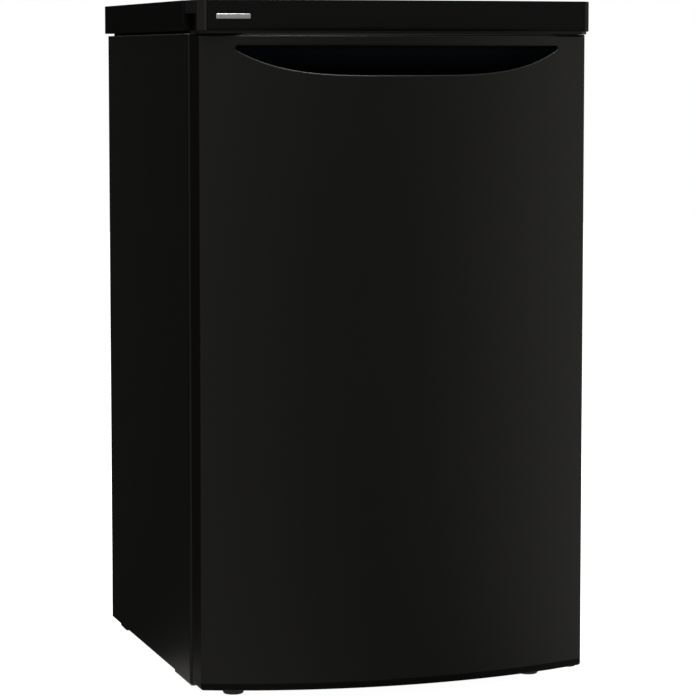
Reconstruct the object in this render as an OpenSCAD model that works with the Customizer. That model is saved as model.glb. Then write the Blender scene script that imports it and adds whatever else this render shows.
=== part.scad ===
// Table-top larder refrigerator with a bowed, recessed-grip door.
// Millimetres. X to the right, -Y to the front, +Z up.
// The origin is on the floor, under the middle of the overall box.

/* [Cabinet] */
// Width of the steel cabinet
cabinet_w = 494; // [400:1:620]
// Height of the steel cabinet, without feet and worktop
cabinet_h = 795; // [600:1:1000]
// Depth of the steel cabinet, without door and condenser
cabinet_d = 438; // [360:1:560]
// Height of the cabinet above the floor
floor_gap = 15; // [14:0.5:22]
// Thickness of the outer steel sheet
sheet_t = 1; // [0.8:0.1:1.5]
// Insulated thickness of each side wall
side_wall_t = 32; // [25:1:45]
// Insulated thickness of the rear wall
rear_wall_t = 40; // [30:1:55]
// Insulated thickness of the ceiling
ceiling_t = 40; // [30:1:60]
// Insulated thickness of the floor
floor_t = 45; // [35:1:60]
// Thickness of the plastic liner
liner_t = 2; // [1.5:0.1:3]

/* [Compressor bay] */
// Depth of the compressor bay at the rear bottom
bay_d = 150; // [140:1:200]
// Height of the compressor bay
bay_h = 185; // [175:1:230]
// Radius of the compressor shell
compressor_r = 68; // [50:1:70]

/* [Worktop] */
// Thickness of the worktop, seen from the side
worktop_t = 37; // [30:1:50]
// Thickness of the laminated board
board_t = 16; // [12:1:22]
// How far the worktop stands out past each cabinet side
worktop_overhang = 3.5; // [2:0.5:10]
// How far the worktop corners stand in front of the cabinet
worktop_reach = 66; // [60:1:90]
// How far the worktop stands out behind the cabinet
worktop_tail = 5; // [2:1:20]
// How far the middle of the worktop front bows out
worktop_bow = 14; // [4:1:30]
// Thickness of the edge strip round the board
edge_t = 3; // [2:0.5:5]
// Width of the corner caps
corner_w = 11; // [9:1:16]
// Chamfer of the corner caps
corner_chamfer = 8.5; // [4:0.5:8.5]

/* [Door] */
// How far the middle of the door bows out past its side edges
door_bow = 46; // [20:1:60]
// Depth of the door at its side edges
door_side_d = 42; // [40:1:60]
// Thickness of the magnetic gasket
gasket_t = 12; // [9:0.5:14]
// Width of the gasket strip
gasket_w = 20; // [14:1:24]
// Distance of the gasket from the door's side
gasket_inset = 12; // [12:1:20]
// Height of the cap under the door
door_cap_h = 9; // [6:1:14]

/* [Grip] */
// Width of the crescent grip opening
grip_w = 424; // [260:2:430]
// Height of the crescent grip opening
grip_h = 36.5; // [26:0.5:60]
// Height of the door front above the grip
grip_drop = 13.5; // [8:0.5:40]
// Depth of the grip recess
grip_d = 34; // [24:1:38]
// How far the recess runs down behind the front sheet
grip_hook = 9; // [5:0.5:14]

/* [Hinge] */
// Distance of the hinge pins from the door's side
pin_inset = 10; // [9:0.5:11]
// Radius of the hinge pins
pin_r = 4; // [3:0.5:5]
// Thickness of the hinge brackets
bracket_t = 2.5; // [2:0.1:3]
// Radial clearance of a pin or stud in its hole
running_fit = 0.08; // [0.02:0.01:0.1]

/* [Shelves] */
// Thickness of the glass shelves
glass_t = 4; // [3:0.5:6]
// Height left free between the top shelf and the control housing
top_space = 92; // [50:1:140]
// Number of rib levels above the drawer cover
rib_levels = 6; // [4:1:6]
// Clearance of a shelf or drawer from the liner
shelf_gap = 1; // [0.5:0.1:3]

/* [Door racks] */
// How far the racks stand into the cabinet, from the hinge line
rack_reach = 125; // [90:1:130]
// Height of the bottle rack
bottle_rack_h = 110; // [80:1:130]
// Height of the two smaller racks
small_rack_h = 58; // [45:1:70]
// Thickness of moulded plastic walls
wall_t = 2.5; // [2:0.1:4]

/* [Feet] */
// Radius of the front feet
foot_r = 13; // [10:0.5:16]
// Distance of the front feet from the cabinet's side
foot_inset = 53; // [40:1:80]
// How far the front feet screw out
foot_travel = 12; // [8:1:14]

/* [Rear] */
// How far the wall spacers stand out behind the worktop
spacer_d = 57; // [40:1:80]
// Number of horizontal condenser runs
condenser_runs = 10; // [6:2:12]
// Radius of the condenser tube
tube_r = 2.4; // [2:0.1:3]

/* [Hidden] */
$fn = 64;
// Arcs with a radius of hundreds of millimetres need finer steps
big_arc_fn = 256;
touch_gap = 0.3;
cut_over = 2;

// Heights, from the floor up
cab_z0 = floor_gap;
cab_z1 = floor_gap + cabinet_h;
top_z0 = cab_z1 + bracket_t + 0.5;
top_z1 = top_z0 + worktop_t;
board_z0 = top_z1 - board_t;
door_z0 = cab_z0 + 1.5;
door_z1 = cab_z1 - 0.5;
skin_z0 = door_z0 + door_cap_h;
skin_z1 = door_z1 - 2.5;

// Widths, from the middle outwards
cab_x = cabinet_w / 2;
top_x = cab_x + worktop_overhang;
cavity_x = cab_x - side_wall_t;
flange_x = cavity_x + 8;

// Depths, front to rear; the middle of the whole depth is zero
front_proud = door_bow - (worktop_reach - gasket_t - door_side_d);
total_d = front_proud + worktop_reach + cabinet_d + worktop_tail + spacer_d;
top_y0 = front_proud - total_d / 2;
cab_y0 = top_y0 + worktop_reach;
cab_y1 = cab_y0 + cabinet_d;
top_y1 = cab_y1 + worktop_tail;
door_back_y = cab_y0 - gasket_t;
door_edge_y = door_back_y - door_side_d;

// Circle through the door's side edges and the middle of its bow
function bow_radius(half, bow) = (half * half + bow * bow) / (2 * bow);
door_r = bow_radius(cab_x, door_bow);
door_cy = door_edge_y - door_bow + door_r;
top_r = bow_radius(top_x, worktop_bow);
top_cy = top_y0 - worktop_bow + top_r;

// Inside of the cabinet
cavity_z0 = cab_z0 + floor_t;
cavity_z1 = cab_z1 - ceiling_t;
cavity_y1 = cab_y1 - rear_wall_t;
bay_y0 = cab_y1 - bay_d;
bay_z1 = cab_z0 + bay_h;
step_wall = 32;
step_y = bay_y0 - step_wall;
step_z = bay_z1 + step_wall;
flange_z0 = cavity_z0 - 15;
flange_z1 = cavity_z1 + 19;

// Plain plate on the worktop's front edge
badge_w = 41;
badge_h = 6;
badge_t = 1;
badge_x = 22 - top_x;
badge_z = top_z0 + worktop_t * 0.38;

// Control housing under the ceiling
housing_h = 42;
housing_x0 = 40;
housing_x1 = cavity_x - 10;
housing_y0 = cab_y0 + 8;
housing_d = 170;
housing_z0 = cavity_z1 - housing_h;
knob_r = 16;
knob_h = 12;
knob_x = housing_x0 + 45;
knob_z = housing_z0 + housing_h / 2;
plunger_r = 4;
plunger_x = knob_x + 55;
plunger_tip_y = door_back_y + 0.5;
lamp_y0 = housing_y0 + 60;

// Rounds a worked-out size down to a tenth of a millimetre
function tidy(size) = floor(size * 10) / 10;

// Hinge line and the sweep that the door's inner pieces may reach
pin_x = cab_x - pin_inset;
pin_y = (door_back_y + door_edge_y) / 2;
bush_r = pin_r + 3.5;
bush_h = 20;
swing_r = pin_x + cavity_x - 4;
dike_reach = door_back_y - pin_y + 64;
dike_x = tidy(sqrt(swing_r * swing_r - dike_reach * dike_reach) - pin_x);
rack_x = tidy(sqrt(swing_r * swing_r - rack_reach * rack_reach) - pin_x);
dike_z0 = cavity_z0 + 8;
dike_z1 = housing_z0 - 8;
rack_y0 = door_back_y + 3;
rack_y1 = pin_y + rack_reach;
rack_z = [dike_z0 + 20, (dike_z0 + dike_z1) / 2 - 20, dike_z1 - small_rack_h - 60];

// Shelves and drawer
shelf_y0 = rack_y1 + 12;
shelf_y1 = cavity_y1 - 10;
shelf_x = cavity_x - shelf_gap;
rib_w = 6;
rib_h = 4;
cover_z = step_z + rib_h;
shelf_levels = [2, 4, 6];
rib_pitch = tidy((housing_z0 - top_space - glass_t - cover_z) / rib_levels);
function level_z(i) = cover_z + i * rib_pitch;
drawer_x = cavity_x - rib_w - 3;
drawer_y0 = shelf_y0 + 1;
drawer_y1 = step_y - 6;
drawer_z0 = cavity_z0 + 0.5;
drawer_z1 = cover_z - 8;

// Base hardware
crossrail_d = 40;
foot_x = cab_x - foot_inset;
foot_y = (cab_y0 + door_back_y) / 2;
stud_r = 4;
stud_z1 = cab_z0 + 17;
bracket_x0 = foot_x - 24;
bracket_y1 = cab_y0 + 80;
screw_r = 2.5;
screw_len = 16;
lower_screws = [[foot_x - 8, cab_y0 + 60], [cab_x - 20, cab_y0 + 60]];
upper_screws = [[cab_x - 38, cab_y0 + 20], [cab_x - 16, cab_y0 + 30]];
upper_bracket_x0 = cab_x - 50;
upper_bracket_y1 = cab_y0 + 45;

// Rear hardware
condenser_y = cab_y1 + 26;
condenser_x = cab_x - 60;
condenser_z0 = bay_z1 + 45;
condenser_z1 = cab_z1 - 40;
run_pitch = (condenser_z1 - condenser_z0) / (condenser_runs - 1);
bend_r = run_pitch / 2;
wire_r = 0.8;
wire_count = 14;
compressor_x = -60;
compressor_y = bay_y0 + bay_d / 2 + 3;
platform_z0 = cab_z0 + sheet_t;
platform_t = 2;
grommet_h = 12;
grommet_r = 10;
leg_t = 3;
leg_z0 = platform_z0 + platform_t + grommet_h;
leg_dx = 78;
leg_dy = 48;
shell_h = bay_z1 - 20 - leg_z0 - leg_t;
relay_w = 64;
relay_d = 38;
gland_h = 14;
gland_bore_r = 3.6;
drain_x = compressor_x;
drain_y = cavity_y1 - 13;
drain_r = 6;

// Box between two corners
module block(low, high) {
    translate(low) cube(high - low);
}

// Both mirror images of a piece across the middle plane
module both_sides() {
    children();
    mirror([1, 0, 0]) children();
}

// Solid of the door's plan, inset all round, between two heights
module door_slab(inset, z0, z1) {
    intersection() {
        translate([0, door_cy, z0]) cylinder(h = z1 - z0, r = door_r - inset, $fn = big_arc_fn);
        block([inset - cab_x, door_edge_y - door_bow - 5, z0], [cab_x - inset, door_back_y, z1]);
    }
}

// Solid of the worktop's plan, inset at the front and sides
module worktop_slab(inset, y1, z0, z1) {
    intersection() {
        translate([0, top_cy, z0]) cylinder(h = z1 - z0, r = top_r - inset, $fn = big_arc_fn);
        block([inset - top_x, top_y0 - worktop_bow - 5, z0], [top_x - inset, y1, z1]);
    }
}

// Cabinet side: flat sheet with a rolled front edge and two return flanges
module side_panel() {
    roll_r = 4;
    corner = [cab_x - roll_r, cab_y0 + roll_r];
    block([cab_x - sheet_t, cab_y0 + roll_r, cab_z0], [cab_x, cab_y1, cab_z1 - sheet_t]);
    block([flange_x, cab_y0, cab_z0], [corner.x, cab_y0 + sheet_t, cab_z1 - sheet_t]);
    block([cab_x - 14, cab_y1 - sheet_t, bay_z1], [cab_x, cab_y1, cab_z1 - sheet_t]);
    intersection() {
        translate([corner.x, corner.y, cab_z0]) difference() {
            cylinder(h = cabinet_h - sheet_t, r = roll_r);
            translate([0, 0, -1]) cylinder(h = cabinet_h + 1, r = roll_r - sheet_t);
        }
        block([corner.x, cab_y0, cab_z0], [cab_x, corner.y, cab_z1]);
    }
}

module left_side_panel() {
    color("#1d1c1b") mirror([1, 0, 0]) side_panel();
}

module right_side_panel() {
    color("#1d1c1b") side_panel();
}

// Screw shank, used for the screw and for its hole
module screw_shank(at, z1) {
    translate([at.x, at.y, z1 - screw_len]) cylinder(h = screw_len, r = screw_r);
}

// Steel lid of the cabinet, under the worktop
module roof_panel() {
    color("#8a8d8f") difference() {
        block([-cab_x, cab_y0, cab_z1 - sheet_t], [cab_x, cab_y1, cab_z1]);
        for (at = upper_screws) screw_shank(at, cab_z1 + bracket_t);
    }
}

module back_panel() {
    color("#7f8385") block([14 - cab_x, cab_y1 - sheet_t, bay_z1], [cab_x - 14, cab_y1, cab_z1 - sheet_t]);
}

// Bottom sheet in front of the compressor bay
module base_plate() {
    color("#5c5f61") difference() {
        block([sheet_t - cab_x, cab_y0 + crossrail_d, cab_z0], [cab_x - sheet_t, bay_y0, cab_z0 + sheet_t]);
        both_sides() for (at = lower_screws) screw_shank(at, cab_z0 - bracket_t + screw_len);
    }
}

// Sheet that forms the front wall and the roof of the compressor bay
module compressor_bay_hood() {
    x = cab_x - sheet_t;
    color("#5c5f61") difference() {
        union() {
            block([-x, bay_y0, cab_z0], [x, bay_y0 + sheet_t, bay_z1]);
            block([-x, bay_y0, bay_z1 - sheet_t], [x, cab_y1, bay_z1]);
        }
        translate([drain_x, drain_y, bay_z1 - cut_over]) cylinder(h = 2 * cut_over, r = drain_r + wall_t);
    }
}

// Angle that joins the two side panels at the top front
module upper_crossrail() {
    t = 2 * sheet_t;
    z1 = cab_z1 - sheet_t;
    color("#232221") difference() {
        union() {
            block([-flange_x, cab_y0, flange_z1], [flange_x, cab_y0 + t, z1]);
            block([sheet_t - cab_x, cab_y0 + t, z1 - t], [cab_x - sheet_t, cab_y0 + crossrail_d, z1]);
        }
        both_sides() side_panel_core();
        for (at = upper_screws) screw_shank(at, cab_z1 + bracket_t);
    }
}

// Space that a side panel's rolled front edge takes up
module side_panel_core() {
    block([cab_x - 5, cab_y0 - 1, cab_z0 - 1], [cab_x + 1, cab_y0 + 5, cab_z1 + 1]);
}

// Angle that joins the two side panels at the bottom front
module lower_crossrail() {
    t = 2 * sheet_t;
    color("#232221") difference() {
        union() {
            block([-flange_x, cab_y0, cab_z0], [flange_x, cab_y0 + t, flange_z0]);
            block([sheet_t - cab_x, cab_y0 + t, cab_z0], [cab_x - sheet_t, cab_y0 + crossrail_d, cab_z0 + t]);
        }
        both_sides() side_panel_core();
    }
}

// Outside of the liner, grown by a margin: upper space, and lower space before the step
module liner_space(grow, front) {
    block([-cavity_x - grow, front, step_z - grow], [cavity_x + grow, cavity_y1 + grow, cavity_z1 + grow]);
    block([-cavity_x - grow, front, cavity_z0 - grow], [cavity_x + grow, step_y + grow, step_z]);
}

// Rigid foam between the steel outside and the plastic inside
module insulation_foam() {
    inner_t = 2 * sheet_t;
    color("#e2cf9a") difference() {
        block([sheet_t - cab_x, cab_y0 + 5, cab_z0 + inner_t],
              [cab_x - sheet_t, cab_y1 - sheet_t, cab_z1 - sheet_t - inner_t]);
        liner_space(liner_t, cab_y0);
        block([-cab_x, bay_y0, 0], [cab_x, cab_y1 + 1, bay_z1]);
        evaporator_box();
        drain_bore(drain_r + wall_t);
        for (at = upper_screws) screw_shank(at, cab_z1 + bracket_t);
        both_sides() for (at = lower_screws) screw_shank(at, cab_z0 - bracket_t + screw_len);
    }
}

module drain_bore(r) {
    translate([drain_x, drain_y, bay_z1 - cut_over]) cylinder(h = step_wall + 2 * cut_over, r = r);
}

// White plastic inside of the cabinet, with the ribs that carry the shelves
module inner_liner() {
    color("#eef0f0") difference() {
        union() {
            difference() {
                union() {
                    liner_space(liner_t, cab_y0);
                    block([-flange_x, cab_y0, flange_z0], [flange_x, cab_y0 + liner_t, flange_z1]);
                }
                liner_space(0, cab_y0 - 1);
            }
            both_sides() for (i = [0:rib_levels]) {
                block([cavity_x - rib_w, shelf_y0 + 8, level_z(i) - rib_h], [cavity_x, shelf_y1, level_z(i)]);
            }
        }
        translate([drain_x, drain_y, step_z - liner_t - 1]) cylinder(h = liner_t + 2, r = drain_r + wall_t);
    }
}

module evaporator_box() {
    block([35 - cavity_x, cavity_y1 + liner_t, step_z + 30], [cavity_x - 35, cavity_y1 + liner_t + 5, cavity_z1 - 70]);
}

// Aluminium cooling plate behind the liner's rear wall
module evaporator_plate() {
    color("#b9bec2") evaporator_box();
}

// Tube that lets the melt water down to the tray over the compressor
module drain_tube() {
    z0 = bay_z1 - 6;
    color("#d9dcdc") translate([drain_x, drain_y, z0]) difference() {
        cylinder(h = step_z - z0, r = drain_r + wall_t - 0.01);
        translate([0, 0, -1]) cylinder(h = step_z - z0 + 2, r = drain_r);
    }
}

// Open tray on the compressor, where the melt water dries off
module evaporation_tray() {
    half = 50;
    z0 = leg_z0 + leg_t + shell_h;
    z1 = z0 + 12;
    centre = [compressor_x, compressor_y];
    color("#2a2a2a") difference() {
        block([centre.x - half, centre.y - half, z0], [centre.x + half, centre.y + half, z1]);
        block([centre.x - half + wall_t, centre.y - half + wall_t, z0 + wall_t],
              [centre.x + half - wall_t, centre.y + half - wall_t, z1 + 1]);
    }
}

// Plate across the bay that carries the compressor
module compressor_platform() {
    x = cab_x - sheet_t;
    color("#4a4c4e") difference() {
        block([-x, bay_y0 + sheet_t, platform_z0], [x, cab_y1 - 4, platform_z0 + platform_t]);
        leg_positions() translate([0, 0, -1]) cylinder(h = platform_z0 + platform_t + 2, r = 4);
    }
}

// Places of the four compressor legs, at floor height
module leg_positions() {
    for (sx = [-1, 1], sy = [-1, 1]) {
        translate([compressor_x + sx * leg_dx, compressor_y + sy * leg_dy, 0]) children();
    }
}

// Sealed compressor: leg plate, lower shell, rim and domed upper shell
module compressor() {
    r = compressor_r;
    z0 = leg_z0 + leg_t;
    rim_z = shell_h * 0.55;
    dome = r * 0.35;
    color("#191919") {
        difference() {
            block([compressor_x - leg_dx - 14, compressor_y - leg_dy - 14, leg_z0],
                  [compressor_x + leg_dx + 14, compressor_y + leg_dy + 14, z0]);
            leg_positions() cylinder(h = z0 + 1, r = 4);
        }
        translate([compressor_x, compressor_y, z0]) {
            cylinder(h = shell_h - dome, r = r - 2);
            translate([0, 0, rim_z]) cylinder(h = 5, r = r);
            rotate_extrude() translate([0, shell_h - dome]) {
                square([r - 2 - dome, dome]);
                intersection() {
                    translate([r - 2 - dome, 0]) circle(r = dome);
                    translate([r - 2 - dome - 0.5, 0]) square(dome + 0.5);
                }
            }
        }
    }
}

module compressor_grommets() {
    color("#101010") leg_positions() translate([0, 0, platform_z0 + platform_t]) {
        cylinder(h = grommet_h, r = grommet_r);
        cylinder(h = grommet_h + leg_t + 4, r = 3.9);
        translate([0, 0, grommet_h + leg_t]) cylinder(h = 4, r = 7);
    }
}

// Electrical box on the compressor's side
module relay_cover() {
    x0 = compressor_x + compressor_r;
    low = [x0, compressor_y - relay_w / 2, leg_z0 + 20];
    color("#26282a") block(low, low + [relay_d, relay_w, 65]);
}

// Gland where a mains lead would enter the electrical box from the rear
module mains_cable_gland() {
    at = [compressor_x + compressor_r + relay_d / 2, compressor_y + relay_w / 2, leg_z0 + 38];
    color("#111111") translate(at) rotate([-90, 0, 0]) difference() {
        union() {
            cylinder(h = 5, r = gland_bore_r + 5.4);
            cylinder(h = gland_h, r = gland_bore_r + 2.9);
        }
        translate([0, 0, 2]) cylinder(h = gland_h, r = gland_bore_r);
    }
}

// Copper capsule that dries the refrigerant
module filter_drier() {
    color("#b0693a") translate([cab_x - 50, bay_y0 + 40, leg_z0 + 30]) {
        cylinder(h = 80, r = 9);
        translate([0, 0, 80]) sphere(r = 9);
        sphere(r = 9);
    }
}

// Straight stretch of pipe between two points that differ along one axis
module pipe(from, to) {
    d = to - from;
    turn = abs(d.x) > 0 ? [0, 90 * sign(d.x), 0] : (abs(d.y) > 0 ? [-90 * sign(d.y), 0, 0] : [d.z < 0 ? 180 : 0, 0, 0]);
    translate(from) rotate(turn) cylinder(h = norm(d), r = tube_r, $fn = 24);
    translate(to) sphere(r = tube_r + 0.4, $fn = 24);
}

module pipe_run(points) {
    for (i = [0:len(points) - 2]) pipe(points[i], points[i + 1]);
}

// Discharge pipe up to the condenser and liquid pipe down to the drier
module refrigerant_pipes() {
    out_z = leg_z0 + 60;
    left = compressor_x - compressor_r + 4;
    drier = [cab_x - 50, bay_y0 + 40, leg_z0 + 118];
    color("#9c5b33") {
        pipe_run([[left, compressor_y, out_z], [left - 60, compressor_y, out_z], [left - 60, condenser_y, out_z],
                  [-condenser_x, condenser_y, out_z], [-condenser_x, condenser_y, condenser_z0 - bend_r]]);
        pipe_run([drier, drier + [0, 0, 14], [drier.x, condenser_y, drier.z + 14],
                  [condenser_x, condenser_y, drier.z + 14], [condenser_x, condenser_y, condenser_z0 - bend_r]]);
    }
}

// Serpentine tube with upright wires, behind the cabinet
module condenser() {
    last = condenser_runs - 1;
    color("#1b1b1b") {
        for (i = [0:last]) {
            translate([-condenser_x, condenser_y, condenser_z0 + i * run_pitch]) rotate([0, 90, 0]) {
                cylinder(h = 2 * condenser_x, r = tube_r, $fn = 24);
            }
        }
        for (i = [0:last - 1]) {
            side = i % 2 == 0 ? 1 : -1;
            translate([side * condenser_x, condenser_y, condenser_z0 + (i + 0.5) * run_pitch]) {
                rotate([90, side > 0 ? -90 : 90, 0]) rotate_extrude(angle = 180, $fn = 48) {
                    translate([bend_r, 0]) circle(r = tube_r + 0.2, $fn = 24);
                }
            }
        }
        for (i = [0:wire_count - 1]) {
            x = -condenser_x + 12 + i * (2 * condenser_x - 24) / (wire_count - 1);
            translate([x, condenser_y + tube_r + wire_r + 0.02, condenser_z0 - 12]) {
                cylinder(h = condenser_z1 - condenser_z0 + 24, r = wire_r, $fn = 16);
            }
        }
    }
}

// Stand-offs that hold the condenser away from the back panel
module condenser_brackets() {
    color("#202020") both_sides() for (z = [condenser_z0 + run_pitch / 2, condenser_z1 - run_pitch / 2]) {
        block([condenser_x - 20, cab_y1, z - 9], [condenser_x - 6, condenser_y - tube_r, z + 9]);
    }
}

module worktop_board() {
    color("#1c1b1a") difference() {
        worktop_slab(edge_t, top_y1 - edge_t, board_z0, top_z1);
        corner_space();
    }
}

// Depth of the worktop's front curve at a distance from the middle
function top_front_y(x) = top_cy - sqrt(top_r * top_r - x * x);

// Space of the two front corner caps
module corner_space() {
    both_sides() block([top_x - corner_w, top_y0 - worktop_bow, top_z0 - 1],
                       [top_x + 1, top_y0 + corner_w, top_z1 + 1]);
}

// Bowed front edge of the worktop, over the door's top
module worktop_front_rail() {
    rest_x = upper_bracket_x0 - 5;
    color("#1f1e1d") difference() {
        union() {
            worktop_slab(0, cab_y0 + 10, top_z0, top_z1);
            block([-rest_x, cab_y0 + 2, cab_z1], [rest_x, cab_y0 + 10, top_z0]);
        }
        worktop_slab(edge_t, cab_y0 + 20, board_z0, top_z1 + 1);
        corner_space();
        badge_recess();
    }
}

// Edge strip and bearer along one side of the worktop
module side_rail() {
    y0 = cab_y0 + 10;
    block([top_x - edge_t, y0, top_z0], [top_x, top_y1 - 12, top_z1]);
    block([cab_x - 22, y0, top_z0], [top_x - edge_t, top_y1 - 12, board_z0]);
    block([cab_x - 22, upper_bracket_y1 + 5, cab_z1], [cab_x - 8, cab_y1, top_z0]);
}

module worktop_left_rail() {
    color("#1c1b1a") mirror([1, 0, 0]) side_rail();
}

module worktop_right_rail() {
    color("#1c1b1a") side_rail();
}

module worktop_rear_rail() {
    y0 = top_y1 - 12;
    color("#1c1b1a") {
        block([-top_x, y0, top_z0], [top_x, top_y1, board_z0]);
        block([-top_x, top_y1 - edge_t, board_z0], [top_x, top_y1, top_z1]);
        both_sides() block([top_x - edge_t, y0, board_z0], [top_x, top_y1 - edge_t, top_z1]);
    }
}

// Chamfered moulding at each front corner of the worktop
module worktop_corner_caps() {
    x0 = top_x - corner_w;
    y1 = top_y0 + corner_w;
    outline = [[x0, top_front_y(x0)], [top_x - corner_chamfer, top_front_y(top_x - corner_chamfer)],
               [top_x, top_y0 + corner_chamfer], [top_x, y1], [x0, y1]];
    color("#2a2725") both_sides() translate([0, 0, top_z0]) {
        linear_extrude(height = worktop_t) polygon(outline);
    }
}

// Shallow seat for the badge in the curved front edge
module badge_recess() {
    intersection() {
        difference() {
            worktop_slab(-1, cab_y0, top_z0, top_z1);
            worktop_slab(badge_t, cab_y0, top_z0 - 1, top_z1 + 1);
        }
        block([badge_x, top_y0 - worktop_bow - 5, badge_z], [badge_x + badge_w, top_y0, badge_z + badge_h]);
    }
}

// Plain bright plate, without any lettering
module badge_plate() {
    color("#c9cbcc") intersection() {
        badge_recess();
        worktop_slab(0, cab_y0, top_z0, top_z1);
    }
}

// Stops that keep the cabinet away from the wall
module wall_spacers() {
    z = top_z0 + 4;
    color("#151515") both_sides() difference() {
        block([cab_x - 90, top_y1, z], [cab_x - 60, top_y1 + spacer_d, z + 18]);
        block([cab_x - 84, top_y1 + 4, z - 1], [cab_x - 66, top_y1 + spacer_d - 4, z + 19]);
    }
}

// Rounded strap that a bracket holds its pin or foot with
module bracket_plate(low, high, nose, nose_r) {
    block(low, high);
    translate([nose.x, nose.y, low.z]) cylinder(h = high.z - low.z, r = nose_r);
}

module upper_hinge_bracket() {
    z0 = cab_z1;
    z1 = cab_z1 + bracket_t;
    color("#3a3b3c") {
        difference() {
            bracket_plate([upper_bracket_x0, pin_y, z0], [cab_x, upper_bracket_y1, z1], [pin_x, pin_y], pin_inset);
            for (at = upper_screws) screw_shank(at, z1);
        }
        translate([pin_x, pin_y, z0 - bush_h + 3]) cylinder(h = bush_h - 2, r = pin_r);
    }
}

// Plate under one front corner, with the threaded hole of the foot
module foot_plate() {
    z0 = cab_z0 - bracket_t;
    difference() {
        bracket_plate([bracket_x0, foot_y, z0], [cab_x, bracket_y1, cab_z0], [foot_x, foot_y], 12);
        translate([foot_x, foot_y, z0 - 1]) cylinder(h = bracket_t + 2, r = stud_r + running_fit);
        for (at = lower_screws) screw_shank(at, z0 + screw_len);
    }
}

module lower_hinge_bracket() {
    color("#3a3b3c") {
        foot_plate();
        block([pin_x - pin_inset, pin_y, cab_z0 - bracket_t], [cab_x, foot_y, cab_z0]);
        translate([pin_x, pin_y, cab_z0 - bracket_t]) cylinder(h = bracket_t, r = pin_inset);
        translate([pin_x, pin_y, cab_z0 - 1]) cylinder(h = bush_h - 1, r = pin_r);
    }
}

module left_foot_bracket() {
    color("#3a3b3c") mirror([1, 0, 0]) foot_plate();
}

module bracket_screws() {
    head_h = 1.5;
    z0 = cab_z0 - bracket_t;
    color("#9a9c9e") {
        both_sides() for (at = lower_screws) {
            screw_shank(at, z0 + screw_len);
            translate([at.x, at.y, z0 - head_h]) cylinder(h = head_h, r = 5);
        }
        for (at = upper_screws) screw_shank(at, cab_z1 + bracket_t);
    }
}

// Moulded skids under the rear corners
module rear_feet() {
    color("#0e0e0e") both_sides() {
        hull() {
            block([cab_x - 22, cab_y1 - 34, 4], [cab_x - 10, cab_y1 - 6, cab_z0]);
            block([cab_x - 19, cab_y1 - 31, 0], [cab_x - 13, cab_y1 - 9, cab_z0]);
        }
    }
}

// Housing of the thermostat, the light switch and the lamp
module control_housing() {
    y1 = housing_y0 + housing_d;
    t = wall_t;
    color("#e6e8e8") difference() {
        block([housing_x0, housing_y0, housing_z0], [housing_x1, y1, cavity_z1]);
        block([housing_x0 + t, housing_y0 + t, housing_z0 + t], [housing_x1 - t, y1 - t, cavity_z1 + 1]);
        lamp_window(0);
        translate([knob_x, housing_y0 - 1, knob_z]) rotate([-90, 0, 0]) cylinder(h = t + 2, r = 4);
        translate([plunger_x, housing_y0 - 1, knob_z]) rotate([-90, 0, 0]) {
            cylinder(h = t + 2, r = plunger_r + 0.1);
        }
    }
}

// Window for the lamp in the housing's underside
module lamp_window(gap) {
    block([housing_x0 + 14 + gap, lamp_y0 + gap, housing_z0 - 1],
          [housing_x1 - 14 - gap, lamp_y0 + 85 - gap, housing_z0 + wall_t + 1]);
}

module lamp_bulb() {
    color("#fff4d8") translate([housing_x0 + 30, lamp_y0 + 42, housing_z0 + 22]) rotate([0, 90, 0]) {
        cylinder(h = 40, r = 9);
        sphere(r = 9);
        translate([0, 0, 40]) cylinder(h = 22, r = 7);
    }
}

// Clear ribbed cover that closes the lamp window
module lamp_cover() {
    color([0.9, 0.95, 1, 0.6]) difference() {
        intersection() {
            lamp_window(0.2);
            block([housing_x0, housing_y0, housing_z0], [housing_x1, lamp_y0 + 90, housing_z0 + wall_t]);
        }
        for (y = [lamp_y0 + 8:8:lamp_y0 + 80]) {
            block([housing_x0 + 18, y, housing_z0 - 1], [housing_x1 - 18, y + 2, housing_z0 + 1]);
        }
    }
}

module glass_pane(z) {
    color([0.75, 0.88, 0.85, 0.5]) block([-shelf_x, shelf_y0, z], [shelf_x, shelf_y1, z + glass_t]);
}

module lower_glass_shelf() {
    glass_pane(level_z(shelf_levels[0]));
}

module middle_glass_shelf() {
    glass_pane(level_z(shelf_levels[1]));
}

module upper_glass_shelf() {
    glass_pane(level_z(shelf_levels[2]));
}

module drawer_cover_shelf() {
    glass_pane(level_z(0));
}

// Moulded strips on the front and rear edges of every pane
module shelf_trims() {
    color("#dfe3e4") for (i = concat([0], shelf_levels)) {
        z = level_z(i);
        block([-shelf_x, shelf_y0 - 6, z - 2], [shelf_x, shelf_y0, z + glass_t + 2]);
        block([-shelf_x, shelf_y1, z - 2], [shelf_x, shelf_y1 + 5, z + glass_t + 6]);
    }
}

// Outline of the grip opening: straight top, lower edge as a flattened curve
function grip_edge(half, drop, steps) = [
    for (i = [0:steps]) let (t = 2 * i / steps - 1) [half * t, -drop * (1 - pow(t, 4))]
];

module grip_shape(grow) {
    half = grip_w / 2 + grow;
    translate([0, door_z1 - grip_drop]) polygon(grip_edge(half, grip_h + grow, 40));
}

// Grip outline as a bar through the door's front
module grip_prism(grow) {
    translate([0, door_back_y, 0]) rotate([90, 0, 0]) linear_extrude(height = door_side_d + door_bow + 10) {
        grip_shape(grow);
    }
}

// Space of the recess behind the front sheet, grown by a margin
module grip_space(grow, depth) {
    intersection() {
        grip_prism(grip_hook + grow);
        difference() {
            door_slab(sheet_t, skin_z0, skin_z1);
            translate([0, door_cy, 0]) cylinder(h = door_z1, r = door_r - depth, $fn = big_arc_fn);
        }
    }
}

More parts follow.
